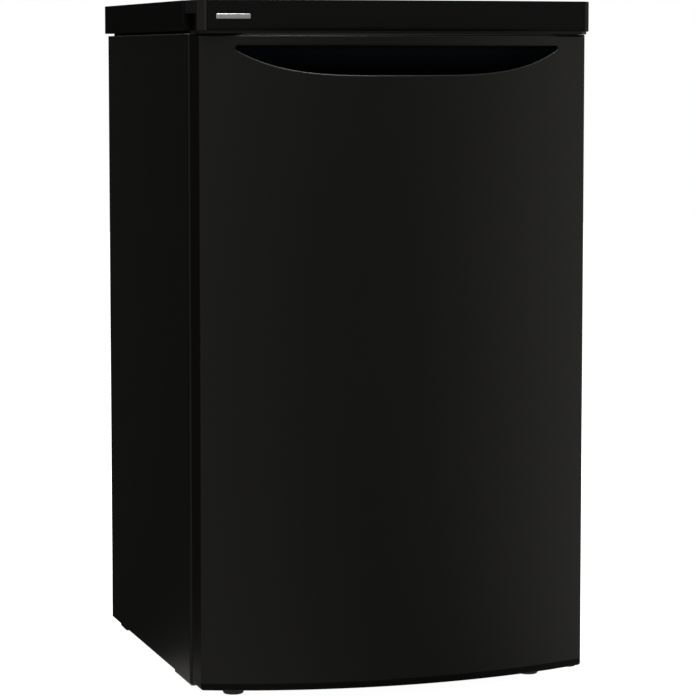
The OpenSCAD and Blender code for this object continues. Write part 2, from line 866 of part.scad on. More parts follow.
// Bowed front sheet with folded sides
module door_outer_sheet() {
    color("#242220") difference() {
        door_slab(0, skin_z0, skin_z1);
        door_slab(sheet_t, skin_z0 - 1, skin_z1 + 1);
        block([sheet_t - cab_x, door_back_y - sheet_t, skin_z0 - 1], [cab_x - sheet_t, door_back_y + 1, skin_z1 + 1]);
        grip_prism(0);
    }
}

module bush_holes() {
    for (z = [door_z0 - 1, door_z1 - bush_h]) {
        translate([pin_x, pin_y, z]) cylinder(h = bush_h + 1, r = bush_r);
    }
}

module door_top_cap() {
    color("#171615") difference() {
        door_slab(0, skin_z1, door_z1);
        bush_holes();
    }
}

module door_bottom_cap() {
    color("#131211") difference() {
        door_slab(0, door_z0, skin_z0);
        bush_holes();
    }
}

// Flat inner face of the door, with the raised ribs that the racks hang between
module door_liner() {
    rib_x = rack_x + 0.5;
    dike_y1 = pin_y + dike_reach;
    color("#eceeee") {
        block([sheet_t - cab_x, door_back_y - liner_t, skin_z0], [cab_x - sheet_t, door_back_y, skin_z1]);
        both_sides() block([rib_x, door_back_y, dike_z0], [dike_x, dike_y1, dike_z1]);
        block([-dike_x, door_back_y, dike_z1 - 8], [dike_x, door_back_y + 26, dike_z1]);
        block([-dike_x, door_back_y, dike_z0], [dike_x, door_back_y + 26, dike_z0 + 8]);
        both_sides() for (z = rack_z) {
            block([rack_x - 8, rack_y0, z - 5], [rib_x, dike_y1, z]);
        }
    }
}

module door_foam() {
    color("#e2cf9a") difference() {
        door_slab(sheet_t, skin_z0, skin_z1);
        block([-cab_x, door_back_y - liner_t, 0], [cab_x, door_back_y + 1, door_z1]);
        grip_space(wall_t, grip_d + wall_t);
        bush_holes();
    }
}

// Magnetic seal between door and cabinet
module door_gasket() {
    x1 = cab_x - gasket_inset;
    z0 = flange_z0 - 10;
    z1 = flange_z1 + 11;
    w = gasket_w;
    color("#1a1817") difference() {
        block([-x1, door_back_y, z0], [x1, cab_y0 - touch_gap, z1]);
        block([w - x1, door_back_y - 1, z0 + w], [x1 - w, cab_y0 + 1, z1 - w]);
    }
}

// Moulded pocket behind the crescent opening
module grip_recess() {
    color("#0d0d10") difference() {
        grip_space(wall_t, grip_d + wall_t);
        grip_space(0, grip_d);
        grip_prism(0);
    }
}

// Plastic bushes that turn on the hinge pins
module hinge_bushes() {
    color("#d8d8d4") for (end = [[door_z0, 1], [door_z1, -1]]) {
        translate([pin_x, pin_y, end[0]]) mirror([0, 0, end[1] > 0 ? 0 : 1]) difference() {
            cylinder(h = bush_h, r = bush_r);
            translate([0, 0, -1]) cylinder(h = bush_h - 1, r = pin_r + running_fit);
        }
    }
}

// Open rack that hangs between the door's ribs
module rack(z, h, lip_h) {
    t = wall_t;
    difference() {
        block([-rack_x, rack_y0, z], [rack_x, rack_y1, z + h]);
        block([t - rack_x, rack_y0 + t, z + t], [rack_x - t, rack_y1 - t, z + h + 1]);
        block([t - rack_x, rack_y1 - t - 1, z + lip_h], [rack_x - t, rack_y1 + 1, z + h + 1]);
    }
}

module bottle_rack() {
    color([0.85, 0.92, 0.95, 0.7]) rack(rack_z[0], bottle_rack_h, bottle_rack_h - 30);
}

module middle_rack() {
    color([0.85, 0.92, 0.95, 0.7]) rack(rack_z[1], small_rack_h, small_rack_h - 12);
}

module upper_rack() {
    color([0.85, 0.92, 0.95, 0.7]) rack(rack_z[2], small_rack_h, small_rack_h - 12);
}

holder_w = 26;

// Fork that slides along the bottle rack's outer wall and steadies a bottle
module bottle_holder() {
    top = rack_z[0] + bottle_rack_h - 30;
    y1 = rack_y1 + touch_gap + 2;
    y0 = rack_y1 - wall_t - touch_gap;
    color("#c8d4da") {
        block([-holder_w / 2, y0 - 2, top + touch_gap], [holder_w / 2, y1, top + touch_gap + 3]);
        block([-holder_w / 2, rack_y1 + touch_gap, top - 25], [holder_w / 2, y1, top + touch_gap]);
        both_sides() block([holder_w / 2 - 4, y0 - 60, top - 18], [holder_w / 2, y0, top + touch_gap + 3]);
    }
}

// Open drawer for vegetables, under its glass cover
module crisper_drawer() {
    t = wall_t;
    color([0.8, 0.88, 0.92, 0.7]) difference() {
        block([-drawer_x, drawer_y0, drawer_z0], [drawer_x, drawer_y1, drawer_z1]);
        block([t - drawer_x, drawer_y0 + t, drawer_z0 + t], [drawer_x - t, drawer_y1 - t, drawer_z1 + 1]);
        translate([-60, drawer_y0 - 1, drawer_z1 - 22]) cube([120, t + 2, 30]);
    }
}

module thermostat_knob() {
    color("#f4f5f5") translate([knob_x, housing_y0 - touch_gap, knob_z]) rotate([90, 0, 0]) difference() {
        union() {
            cylinder(h = knob_h, r = knob_r);
            translate([0, 0, -8]) cylinder(h = 9, r = 3.9);
        }
        translate([-1, knob_r - 6, knob_h - 1]) cube([2, 8, 3]);
    }
}

module light_switch_button() {
    length = housing_y0 - plunger_tip_y + 14;
    color("#f4f5f5") translate([plunger_x, plunger_tip_y, knob_z]) rotate([-90, 0, 0]) cylinder(h = length, r = plunger_r);
}

// Levelling foot: round pad and threaded stud
module levelling_foot() {
    pad_h = cab_z0 - bracket_t - 0.2;
    translate([foot_x, foot_y, 0]) {
        cylinder(h = pad_h, r = foot_r);
        cylinder(h = stud_z1, r = stud_r);
    }
}

module front_left_foot() {
    color("#0e0e0e") mirror([1, 0, 0]) levelling_foot();
}

module front_right_foot() {
    color("#0e0e0e") levelling_foot();
}

left_side_panel();
right_side_panel();
roof_panel();
back_panel();
base_plate();
compressor_bay_hood();
upper_crossrail();
lower_crossrail();
insulation_foam();
inner_liner();
evaporator_plate();
drain_tube();
evaporation_tray();
compressor_platform();
compressor();
compressor_grommets();
relay_cover();
mains_cable_gland();
filter_drier();
refrigerant_pipes();
condenser();
condenser_brackets();
worktop_board();
worktop_front_rail();
worktop_left_rail();
worktop_right_rail();
worktop_rear_rail();
worktop_corner_caps();
badge_plate();
wall_spacers();
upper_hinge_bracket();
lower_hinge_bracket();
left_foot_bracket();
bracket_screws();
rear_feet();
control_housing();
lamp_bulb();
lamp_cover();
lower_glass_shelf();
middle_glass_shelf();
upper_glass_shelf();
drawer_cover_shelf();
shelf_trims();
door_outer_sheet();
door_top_cap();
door_bottom_cap();
door_liner();
door_foam();
door_gasket();
grip_recess();
hinge_bushes();
bottle_rack();
middle_rack();
upper_rack();
bottle_holder();
crisper_drawer();
thermostat_knob();
light_switch_button();
front_left_foot();
front_right_foot();
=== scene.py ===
"""Table-top larder refrigerator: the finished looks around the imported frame, in metres."""
import math

import bmesh
import bpy
from mathutils import Matrix, Vector


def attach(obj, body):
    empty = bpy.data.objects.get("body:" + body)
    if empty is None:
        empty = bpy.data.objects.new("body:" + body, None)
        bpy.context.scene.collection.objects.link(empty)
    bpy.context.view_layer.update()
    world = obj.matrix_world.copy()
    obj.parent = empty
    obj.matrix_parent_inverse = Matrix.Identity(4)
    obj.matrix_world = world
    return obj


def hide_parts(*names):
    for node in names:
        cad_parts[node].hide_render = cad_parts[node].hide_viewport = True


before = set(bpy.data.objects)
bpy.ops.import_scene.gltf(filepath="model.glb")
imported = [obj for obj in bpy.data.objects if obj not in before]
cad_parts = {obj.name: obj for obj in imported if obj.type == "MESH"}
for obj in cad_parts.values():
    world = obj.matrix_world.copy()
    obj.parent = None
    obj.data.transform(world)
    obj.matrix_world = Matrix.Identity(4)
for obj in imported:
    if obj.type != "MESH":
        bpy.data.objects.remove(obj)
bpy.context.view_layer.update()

# ---- Studio -------------------------------------------------------------------------------
# A long lens a little left of the door looks slightly down on the appliance. It stands on a
# pale floor in a white light tent, with two soft boxes overhead and one behind.
scene = bpy.context.scene
scene.view_settings.view_transform = "Standard"

camera = bpy.data.objects.new("camera", bpy.data.cameras.new("camera"))
scene.collection.objects.link(camera)
camera.location = (-1.0836, -3.5386, 0.7812)
camera_yaw, camera_pitch = math.radians(17.298), math.radians(5.010)
looking = Vector((math.sin(camera_yaw) * math.cos(camera_pitch),
                  math.cos(camera_yaw) * math.cos(camera_pitch), -math.sin(camera_pitch)))
camera.rotation_euler = looking.to_track_quat("-Z", "Y").to_euler()
camera.data.sensor_width, camera.data.lens, camera.data.shift_y = 36.0, 146.76, -0.06
scene.camera = camera

for lamp_name, place, aim, width, height, power in (
        ("overhead_soft_box", (-0.80, -1.30, 2.90), (0.0, 0.0, 0.6), 1.2, 1.4, 38.0),
        ("top_soft_box", (0.0, -0.62, 3.03), (0.2, -0.275, 0.765), 0.5, 0.5, 48.0),
        ("rear_soft_box", (1.40, 2.60, 1.60), (0.0, 0.25, 0.4), 1.2, 1.6, 25.0)):
    lamp = bpy.data.lights.new(lamp_name, "AREA")
    lamp.shape, lamp.size, lamp.size_y, lamp.energy = "RECTANGLE", width, height, power
    holder = bpy.data.objects.new(lamp_name, lamp)
    scene.collection.objects.link(holder)
    holder.location = place
    holder.rotation_euler = (Vector(aim) - Vector(place)).to_track_quat("-Z", "Y").to_euler()
    holder.visible_camera = False


def plug(tree, side, socket):
    """Sets a socket to a value, or links it to another socket."""
    if isinstance(side, bpy.types.NodeSocket):
        tree.links.new(side, socket)
    else:
        socket.default_value = side


def add_node(tree, kind, settings=(), **sides):
    """A shader node with its settings; each named input gets a value or a link."""
    node = tree.nodes.new("ShaderNode" + kind)
    for label, value in settings:
        setattr(node, label, value)
    for label, side in sides.items():
        plug(tree, side, node.inputs[label.replace("_", " ")])
    return node


def add_math(tree, kind, *sides):
    """A math node; each side is a number or a socket."""
    node = add_node(tree, "Math", [("operation", kind)])
    for index, side in enumerate(sides):
        plug(tree, side, node.inputs[index])
    return node.outputs["Value"]


def add_range(tree, value, low, high, start=0.3, end=0.7):
    """Spreads a value between two limits, which are numbers or sockets."""
    return add_node(tree, "MapRange", Value=value, From_Min=start, From_Max=end,
                    To_Min=low, To_Max=high).outputs["Result"]


# The light tent round the appliance, as brightness by compass direction: from the rear, by the
# left, the front and the right, back to the rear. Walls and floor glow alike.
tent_stops = [(-180, 0.036), (-140, 0.025), (-98, 0.03), (-80, 0.26), (-52, 0.47), (-30, 0.46),
              (-2, 0.19), (20, 0.19), (40, 0.44), (60, 0.70), (88, 0.66), (120, 0.40), (150, 0.16),
              (180, 0.04)]
tent = bpy.data.node_groups.new("light_tent", "ShaderNodeTree")
tent.interface.new_socket("Direction", in_out="INPUT", socket_type="NodeSocketVector")
tent.interface.new_socket("Brightness", in_out="OUTPUT", socket_type="NodeSocketColor")
tent_in = tent.nodes.new("NodeGroupInput")
tent_out = tent.nodes.new("NodeGroupOutput")
tent_way = add_node(tent, "SeparateXYZ", Vector=tent_in.outputs["Direction"])
tent_compass = add_math(tent, "ARCTAN2", tent_way.outputs["X"],
                        add_math(tent, "MULTIPLY", tent_way.outputs["Y"], -1.0))
tent_ramp = add_node(tent, "ValToRGB",
                     Fac=add_range(tent, tent_compass, 0.0, 1.0, -math.pi, math.pi))
tent_ramp.color_ramp.interpolation = "B_SPLINE"
while len(tent_ramp.color_ramp.elements) < len(tent_stops):
    tent_ramp.color_ramp.elements.new(0.5)
for tent_element, (tent_bearing, tent_level) in zip(tent_ramp.color_ramp.elements, tent_stops):
    tent_element.position = (tent_bearing + 180) / 360
    tent_element.color = (tent_level, tent_level * 0.985, tent_level * 0.94, 1)
tent.links.new(tent_ramp.outputs["Color"], tent_out.inputs["Brightness"])


def glow_by_tent(tree, way, glow, seen, output):
    """Reflections and light get the tent's glow, while the camera sees another shader."""
    compass = add_node(tree, "Group", [("node_tree", tent)],
                       Direction=add_node(tree, "TexCoord").outputs[way])
    tree.links.new(compass.outputs["Brightness"], glow.inputs["Color"])
    mix = add_node(tree, "MixShader", Fac=add_node(tree, "LightPath").outputs["Is Camera Ray"])
    tree.links.new(glow.outputs[0], mix.inputs[1])
    tree.links.new(seen.outputs[0], mix.inputs[2])
    tree.links.new(mix.outputs["Shader"], output.inputs["Surface"])


room = bpy.data.worlds.new("white_room")
scene.world = room
room.use_nodes = True
glow_by_tent(room.node_tree, "Generated", room.node_tree.nodes["Background"],
             add_node(room.node_tree, "Background", Color=(1, 1, 1, 1)),
             room.node_tree.nodes["World Output"])

floor_half, floor_drop = 9.0, 0.0004
floor_mesh = bpy.data.meshes.new("floor")
floor_mesh.from_pydata([(x * floor_half, y * floor_half, -floor_drop)
                        for x, y in ((-1, -1), (1, -1), (1, 1), (-1, 1))], [], [(0, 1, 2, 3)])
floor = bpy.data.objects.new("floor", floor_mesh)
scene.collection.objects.link(floor)
floor_paint = bpy.data.materials.new("pale_floor")
floor_paint.use_nodes = True
floor_nodes = floor_paint.node_tree.nodes
for floor_label, floor_value in (("Base Color", (0.82, 0.82, 0.82, 1)), ("Roughness", 0.9),
                                 ("Specular IOR Level", 0.1), ("Emission Color", (1, 1, 1, 1)),
                                 ("Emission Strength", 0.97)):
    floor_nodes["Principled BSDF"].inputs[floor_label].default_value = floor_value
glow_by_tent(floor_paint.node_tree, "Object", add_node(floor_paint.node_tree, "Emission"),
             floor_nodes["Principled BSDF"], floor_nodes["Material Output"])
floor_mesh.materials.append(floor_paint)

# ---- Steel side panels and crossrails -------------------------------------------------------
# The cabinet's outside is thin steel sheet, folded over a roll at the front edge and coated
# with black baked enamel. The two crossrails are angles of the same sheet, welded between them.


def node_group(name, inputs, outputs):
    """An empty shader group with named number inputs and outputs, and its two end nodes."""
    group = bpy.data.node_groups.new(name, "ShaderNodeTree")
    for label, value in inputs:
        socket = group.interface.new_socket(label, in_out="INPUT", socket_type="NodeSocketFloat")
        socket.default_value = value
    for label in outputs:
        group.interface.new_socket(label, in_out="OUTPUT", socket_type="NodeSocketFloat")
    return group, group.nodes.new("NodeGroupInput"), group.nodes.new("NodeGroupOutput")


def add_noise(tree, scale, detail, stretch=(1, 1, 1)):
    """A noise texture in object space, which may be stretched along an axis."""
    place = add_node(tree, "Mapping", Vector=add_node(tree, "TexCoord").outputs["Object"],
                     Scale=stretch)
    return add_node(tree, "TexNoise", Vector=place.outputs["Vector"], Scale=scale,
                    Detail=detail).outputs["Fac"]


# Skin that coatings and mouldings share: slow cloudy tone, gloss that varies with handling,
# fine grain for the bump, and the dust that settles on upward faces.
skin_group, skin_in, skin_out = node_group(
    "surface_skin", [("Grain", 900.0), ("Gloss Low", 0.3), ("Gloss High", 0.4), ("Cloud", 4.0)],
    ["Tone", "Roughness", "Height", "Dust"])
skin_cloud = add_noise(skin_group, skin_in.outputs["Cloud"], 4.0)
skin_smear = add_noise(skin_group, 17.0, 6.0)
skin_mix = add_math(skin_group, "MULTIPLY", add_math(skin_group, "ADD", skin_cloud, skin_smear),
                    0.5)
skin_facing = add_node(skin_group, "SeparateXYZ",
                       Vector=add_node(skin_group, "NewGeometry").outputs["Normal"])
skin_up = add_range(skin_group, skin_facing.outputs["Z"], 0.0, 1.0, 0.75, 1.0)
for skin_label, skin_value in (
        ("Tone", skin_cloud), ("Height", add_noise(skin_group, skin_in.outputs["Grain"], 2.0)),
        ("Dust", add_math(skin_group, "MULTIPLY", skin_up, add_noise(skin_group, 260.0, 5.0))),
        ("Roughness", add_range(skin_group, skin_mix, skin_in.outputs["Gloss Low"],
                                skin_in.outputs["Gloss High"]))):
    skin_group.links.new(skin_value, skin_out.inputs[skin_label])


def marked_material(name, group, grades, places, tones, strength, depth, dust=0.0, **plain):
    """A material whose group gives it a tone, a gloss and a bump.

    plain gives sockets of the shader that are the same all over, such as Metallic."""
    finish = bpy.data.materials.new(name)
    finish.use_nodes = True
    tree = finish.node_tree
    marks = add_node(tree, "Group", [("node_tree", group)], **grades)
    ramp = add_node(tree, "ValToRGB", Fac=marks.outputs["Tone"])
    for element, place, tone in zip(ramp.color_ramp.elements, places, tones):
        element.position, element.color = place, (*tone, 1)
    colour = ramp.outputs["Color"]
    if dust:
        settled = add_math(tree, "MULTIPLY", marks.outputs["Dust"], dust)
        colour = add_node(tree, "Mix", [("data_type", "RGBA")], Factor=settled, A=colour,
                          B=(0.34, 0.32, 0.29, 1)).outputs["Result"]
    bump = add_node(tree, "Bump", Strength=strength, Distance=depth, Height=marks.outputs["Height"])
    for label, side in {"Base Color": colour, "Roughness": marks.outputs["Roughness"],
                        "Normal": bump.outputs["Normal"], **plain}.items():
        plug(tree, side, tree.nodes["Principled BSDF"].inputs[label.replace("_", " ")])
    return finish


def skin_material(name, dark, light, gloss, grain, depth, cloud=4.0, dust=0.0, **plain):
    """A coated or moulded surface: two close tones, a gloss range, a fine grain and some dust."""
    grades = {"Grain": grain, "Gloss_Low": gloss[0], "Gloss_High": gloss[1], "Cloud": cloud}
    return marked_material(name, skin_group, grades, (0.3, 0.7), (dark, light), 0.5, depth, dust,
                           **plain)


def finished(name, shape, material, body, nodes=(), smooth=35.0, closed=True):
    """Makes a finished piece of a bmesh: smooth up to an angle, riding on a body."""
    mesh = bpy.data.meshes.new(name)
    if closed:
        bmesh.ops.recalc_face_normals(shape, faces=shape.faces)
    shape.to_mesh(mesh)
    shape.free()
    mesh.polygons.foreach_set("use_smooth", [True] * len(mesh.polygons))
    mesh.set_sharp_from_angle(angle=math.radians(smooth))
    mesh.materials.append(material)
    piece = bpy.data.objects.new(name, mesh)
    scene.collection.objects.link(piece)
    if nodes:
        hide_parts(*nodes)
    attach(piece, body)
    return piece


def ease_edges(piece, width, segments=2):
    """Rounds a piece's sharp edges, as a press, a mould or a file leaves them."""
    bevel = piece.modifiers.new("eased_edges", "BEVEL")
    bevel.width, bevel.segments = width, segments
    bevel.limit_method, bevel.angle_limit = "ANGLE", math.radians(32)
    bevel.harden_normals = True
    return piece


def add_gauge(piece, thickness):
    """Gives a skin its thickness, on its hidden side."""
    gauge = piece.modifiers.new("gauge", "SOLIDIFY")
    gauge.thickness, gauge.offset = thickness, -1.0


def frame_shape(node):
    """The node's own solid as a clean bmesh, with its flat faces joined up."""
    shape = bmesh.new()
    shape.from_mesh(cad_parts[node].data)
    bmesh.ops.remove_doubles(shape, verts=shape.verts, dist=2e-6)
    bmesh.ops.dissolve_limit(shape, angle_limit=math.radians(0.4), verts=shape.verts,
                             edges=shape.edges)
    return shape


def eased_copy(node, width, material, body, segments=2):
    """The node's shape with rounded edges and its finish."""
    piece = finished(node + "_finished", frame_shape(node), material, body, (node,), 30.0)
    return ease_edges(piece, width, segments)


enamel = skin_material("black_baked_enamel", (0.0019, 0.0018, 0.0016), (0.0024, 0.0023, 0.0020),
                       (0.34, 0.38), 1500.0, 0.00003, 2.5, 0.03, Specular_IOR_Level=0.3)
for steel_node in ("left_side_panel", "right_side_panel", "upper_crossrail", "lower_crossrail"):
    eased_copy(steel_node, 0.0003, enamel, "cabinet")

# ---- Door front sheet -----------------------------------------------------------------------
# The same enamelled sheet, rolled to a shallow bow and folded back round both vertical edges.
# The crescent grip opening is pressed out of its top, with a small turned-in lip all round.
door_half = 0.247
door_radius = 0.686141
door_centre_y = 0.386141
door_back_y = -0.212
skin_bottom, skin_top = 0.0255, 0.807
edge_roll = 0.003
grip_half, grip_drop, grip_top, tip_round = 0.212, 0.0352, 0.7954, 0.003
lip_radius, lip_guard, lip_depth = 0.0022, 0.0012, 0.0036
edge_guard = 0.0006


def bow_y(x, depth=0.0):
    """Where the door's bowed front lies at a distance from the middle, or that far behind it."""
    radius = door_radius - depth
    return door_centre_y - math.sqrt(radius * radius - x * x)


def arc_points(centre, radius, start, end, steps):
    """Points on an arc, from one angle to another, in degrees."""
    turns = [math.radians(start + (end - start) * step / steps) for step in range(steps + 1)]
    return [(centre[0] + radius * math.cos(turn), centre[1] + radius * math.sin(turn))
            for turn in turns]


def loft(shape, rings, closed=True, caps=True, loop=False):
    """Skins a row of equal rings of points with quads, and closes the ends."""
    rows = [[shape.verts.new(point) for point in ring] for ring in rings]
    count = len(rows[0])
    for first, second in list(zip(rows, rows[1:])) + ([(rows[-1], rows[0])] if loop else []):
        for here in range(count if closed else count - 1):
            after = (here + 1) % count
            shape.faces.new((first[here], first[after], second[after], second[here]))
    if caps and closed and not loop:
        shape.faces.new(rows[0][::-1])
        shape.faces.new(rows[-1])
    return rows


def bow_edge_plan(inset):
    """Right edge of the door in plan: from the bow, round the roll, to the rear of the side."""
    roll_x = door_half - edge_roll
    roll_y = bow_y(roll_x, edge_roll)
    start = math.degrees(math.asin(roll_x / (door_radius - edge_roll))) - 90
    points = arc_points((roll_x, roll_y), edge_roll - inset, start, 0, 6)
    return points + [(door_half - inset, door_back_y - 0.001)]


def grip_curve(x):
    """A point of the crescent's lower edge, and the direction square to it, out of the opening."""
    slope = 4 * grip_drop * x ** 3 / grip_half ** 4
    steep = math.hypot(slope, 1)
    return x, grip_top - grip_drop * (1 - (x / grip_half) ** 4), slope / steep, -1 / steep


# The rounding of each tip touches both edges: its centre lies one radius below the upper one.
tip_start, tip_end = 0.0, grip_half
while tip_end - tip_start > 1e-7:
    tip_x = (tip_start + tip_end) / 2
    tip_z, tip_out = grip_curve(tip_x)[1], grip_curve(tip_x)[3]
    if tip_z - tip_round * tip_out > grip_top - tip_round:
        tip_end = tip_x
    else:
        tip_start = tip_x
tip_point = grip_curve(tip_x)
tip_centre = (tip_x - tip_round * tip_point[2], grip_top - tip_round)
tip_angle = math.degrees(math.atan2(tip_point[3], tip_point[2]))


def grip_tip(sign, turns):
    """Points round one tip of the crescent, at angles from the level."""
    return [(sign * tip_centre[0] + tip_round * math.cos(turn),
             tip_centre[1] + tip_round * math.sin(turn), math.cos(turn), math.sin(turn))
            for turn in map(math.radians, turns)]


front_shape = bmesh.new()
lip_steps = 96
low_turns = [tip_angle * part for part in (0.8, 0.6, 0.4, 0.2)]
high_turns = [15, 30, 45, 60, 75]
grip_loop = [grip_curve(tip_x * (2 * step / lip_steps - 1)) for step in range(lip_steps + 1)]
grip_loop += grip_tip(1, low_turns + [0] + high_turns)
right_widest = lip_steps + 1 + len(low_turns)
grip_loop += [(tip_centre[0] * (1 - 2 * step / lip_steps), grip_top, 0.0, 1.0)
              for step in range(lip_steps + 1)]
grip_loop += grip_tip(-1, [180 - turn for turn in (low_turns + [0] + high_turns)[::-1]])
left_widest = len(grip_loop) - 1 - len(low_turns)

lip_profile = [(lip_radius + lip_guard, 0.0)]
lip_profile += [(lip_radius * (1 - math.sin(turn)), lip_radius * (1 - math.cos(turn)))
                for turn in (math.radians(step * 15) for step in range(7))]
lip_profile.append((0.0, lip_depth))
lip_rows = loft(front_shape, [[(x + out_x * away, bow_y(x + out_x * away, depth), z + out_z * away)
                               for x, z, out_x, out_z in grip_loop] for away, depth in lip_profile],
                caps=False)
guard_row = lip_rows[0]
lower_row = guard_row[left_widest:] + guard_row[:right_widest + 1]
upper_row = guard_row[right_widest:left_widest + 1][::-1]


def drop_to(row, z):
    """Vertices straight above or below a row, at one height."""
    return [front_shape.verts.new((vert.co.x, vert.co.y, z)) for vert in row]


sheet_rows = [drop_to(lower_row, skin_bottom), drop_to(lower_row, skin_bottom + edge_guard),
              lower_row, drop_to(upper_row, skin_top - edge_guard), drop_to(upper_row, skin_top)]
for low_row, high_row in (sheet_rows[0:2], sheet_rows[1:3], (upper_row, sheet_rows[3]),
                          sheet_rows[3:5]):
    for here in range(len(low_row) - 1):
        front_shape.faces.new((low_row[here], low_row[here + 1], high_row[here + 1],
                               high_row[here]))

widest_x = guard_row[right_widest].co.x
edge_plan = [(x, bow_y(x)) for x in (widest_x + (door_half - edge_roll - widest_x) * part
                                     for part in (0.33, 0.66, 0.97))]
edge_plan += bow_edge_plan(0.0)
edge_plan.insert(-1, (door_half, edge_plan[-2][1] + edge_guard))
edge_plan.insert(-1, (door_half, edge_plan[-1][1] - edge_guard))
for sign, end in ((1, -1), (-1, 0)):
    before = [row[end] for row in sheet_rows]
    levels = [vert.co.z for vert in before]
    for x, y in edge_plan:
        column = [front_shape.verts.new((sign * x, y, z)) for z in levels]
        for low in range(len(levels) - 1):
            quad = (before[low], column[low], column[low + 1], before[low + 1])
            front_shape.faces.new(quad if sign > 0 else quad[::-1])
        before = column
bmesh.ops.remove_doubles(front_shape, verts=front_shape.verts, dist=1e-7)
edge_enamel = skin_material("door_edge_enamel", (0.0026, 0.0019, 0.0014), (0.0032, 0.0024, 0.0018),
                            (0.48, 0.56), 1500.0, 0.00003, 2.5, Specular_IOR_Level=0.12)
front_sheet = finished("door_front_sheet", front_shape, enamel, "door", ("door_outer_sheet",),
                       50.0, closed=False)
front_sheet.data.materials.append(edge_enamel)
for face in front_sheet.data.polygons:
    face.material_index = 1 if abs(face.normal.x) > 0.98 else 0
add_gauge(front_sheet, 0.0008)

# ---- Grip recess ----------------------------------------------------------------------------
# A black moulded pocket behind the crescent. Its rear wall is rounded at the top and bottom,
# and it runs a finger's width down behind the lip, so that the hand can pull.
pocket_half, pocket_drop, pocket_depth = 0.221, 0.0455, 0.034
pocket_mouth, pocket_top, pocket_top_mouth = 0.0011, 0.7950, 0.0024
pocket_plastic = skin_material("pocket_plastic", (0.0075, 0.0105, 0.0150), (0.0090, 0.0125, 0.0175),
                               (0.50, 0.62), 2600.0, 0.00012, Specular_IOR_Level=0.03)
# Painted shade: the pocket's bluish-black colour is lightest at its top and is darkened almost to
# black towards its floor, deep in the recess where shade falls.
pocket_tree = pocket_plastic.node_tree
pocket_colour = pocket_tree.nodes["Principled BSDF"].inputs["Base Color"]
pocket_place = add_node(pocket_tree, "NewGeometry").outputs["Position"]
pocket_height = add_node(pocket_tree, "SeparateXYZ", Vector=pocket_place).outputs["Z"]
pocket_painted_shade = add_node(pocket_tree, "Mix", [("data_type", "RGBA"), ("blend_type", "MULTIPLY")],
                        Factor=1.0, A=pocket_colour.links[0].from_socket,
                        B=add_range(pocket_tree, pocket_height, 0.01, 1.0, 0.768, 0.790))
pocket_tree.links.new(pocket_painted_shade.outputs["Result"], pocket_colour)
pocket_shape = bmesh.new()
pocket_rings = []
for step in range(-24, 25):
    along = math.sin(step / 24 * math.pi / 2) * 0.9955
    x = pocket_half * along
    height = pocket_drop * (1 - along ** 4)
    depth = pocket_depth * (1 - 0.7 * along ** 8)
    top_round = min(0.008, height * 0.3)
    low_round = min(0.016, height * 0.45)
    section = [(pocket_top_mouth, pocket_top)]
    section += arc_points((depth - top_round, pocket_top - top_round), top_round, 90, 0, 6)
    section += arc_points((depth - low_round, grip_top - height + low_round), low_round, 0, -90, 8)
    section.append((pocket_mouth, grip_top - height))
    pocket_rings.append([(x, bow_y(x, back), z) for back, z in section])
pocket_rows = loft(pocket_shape, pocket_rings, closed=False)
pocket_shape.faces.new(pocket_rows[0])
pocket_shape.faces.new(pocket_rows[-1][::-1])
pocket = finished("grip_pocket", pocket_shape, pocket_plastic, "door", ("grip_recess",),
                  50.0, closed=False)
add_gauge(pocket, 0.0015)

# ---- Door caps ------------------------------------------------------------------------------
# Black moulded strips close the top and bottom of the door. Their corners follow the sheet's
# rolled edges, the lower one has a softly rounded underside, and both hold the hinge bushes.
cap_plastic = skin_material("cap_plastic", (0.0014, 0.0013, 0.0013), (0.0020, 0.0019, 0.0018),
                            (0.46, 0.58), 3200.0, 0.00008, 6.0, Specular_IOR_Level=0.1)


def door_plan(inset):
    """The door's outline in plan, drawn in by an amount, with the sheet's rolled corners."""
    edge = bow_edge_plan(inset)[:-1] + [(door_half - inset, door_back_y - inset)]
    roll_x = edge[0][0]
    bow = [(x, bow_y(x, inset)) for x in (roll_x * step / 60 for step in range(-59, 60))]
    return [(-x, y) for x, y in edge[::-1]] + bow + edge


cap_layers = {"door_top_cap": [(0.0001, 0.8071), (0.0, 0.8073), (0.0, 0.8083), (0.0004, 0.8091),
                               (0.0012, 0.8095)],
              "door_bottom_cap": [(0.0027, 0.0165), (0.0018, 0.0168), (0.0009, 0.0175),
                                  (0.0003, 0.0184), (0.0, 0.0196), (0.0, 0.0250), (0.0003, 0.0253)]}
for cap_node, layers in cap_layers.items():
    cap_shape = bmesh.new()
    loft(cap_shape, [[(x, y, z) for x, y in door_plan(inset)] for inset, z in layers])
    finished(cap_node + "_moulding", cap_shape, cap_plastic, "door", (cap_node,),
             40.0)

# ---- Door foam ------------------------------------------------------------------------------
# Rigid polyurethane foam fills the door and the cabinet walls. It is poured in place, so it
# fits every fold, and it is nowhere in sight.
foam = skin_material("poured_foam", (0.56, 0.44, 0.22), (0.66, 0.55, 0.30), (0.75, 0.95), 400.0,
                     0.0006, 30.0)


def dress(node, material):
    """Gives a frame node that keeps its own shape a finish."""
    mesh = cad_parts[node].data
    mesh.materials.clear()
    mesh.materials.append(material)


dress("door_foam", foam)
dress("insulation_foam", foam)

# ---- Door liner -----------------------------------------------------------------------------
# The door's white inner skin is vacuum-formed from glossy plastic sheet, so every edge of its
# raised frame is soft. Steps on the frame carry the racks, and shallow beads stiffen the panel.
white_sheet = skin_material("vacuum_formed_white", (0.82, 0.83, 0.82), (0.86, 0.87, 0.865),
                            (0.16, 0.24), 500.0, 0.00006, 3.0, 0.0, Coat_Weight=0.25)


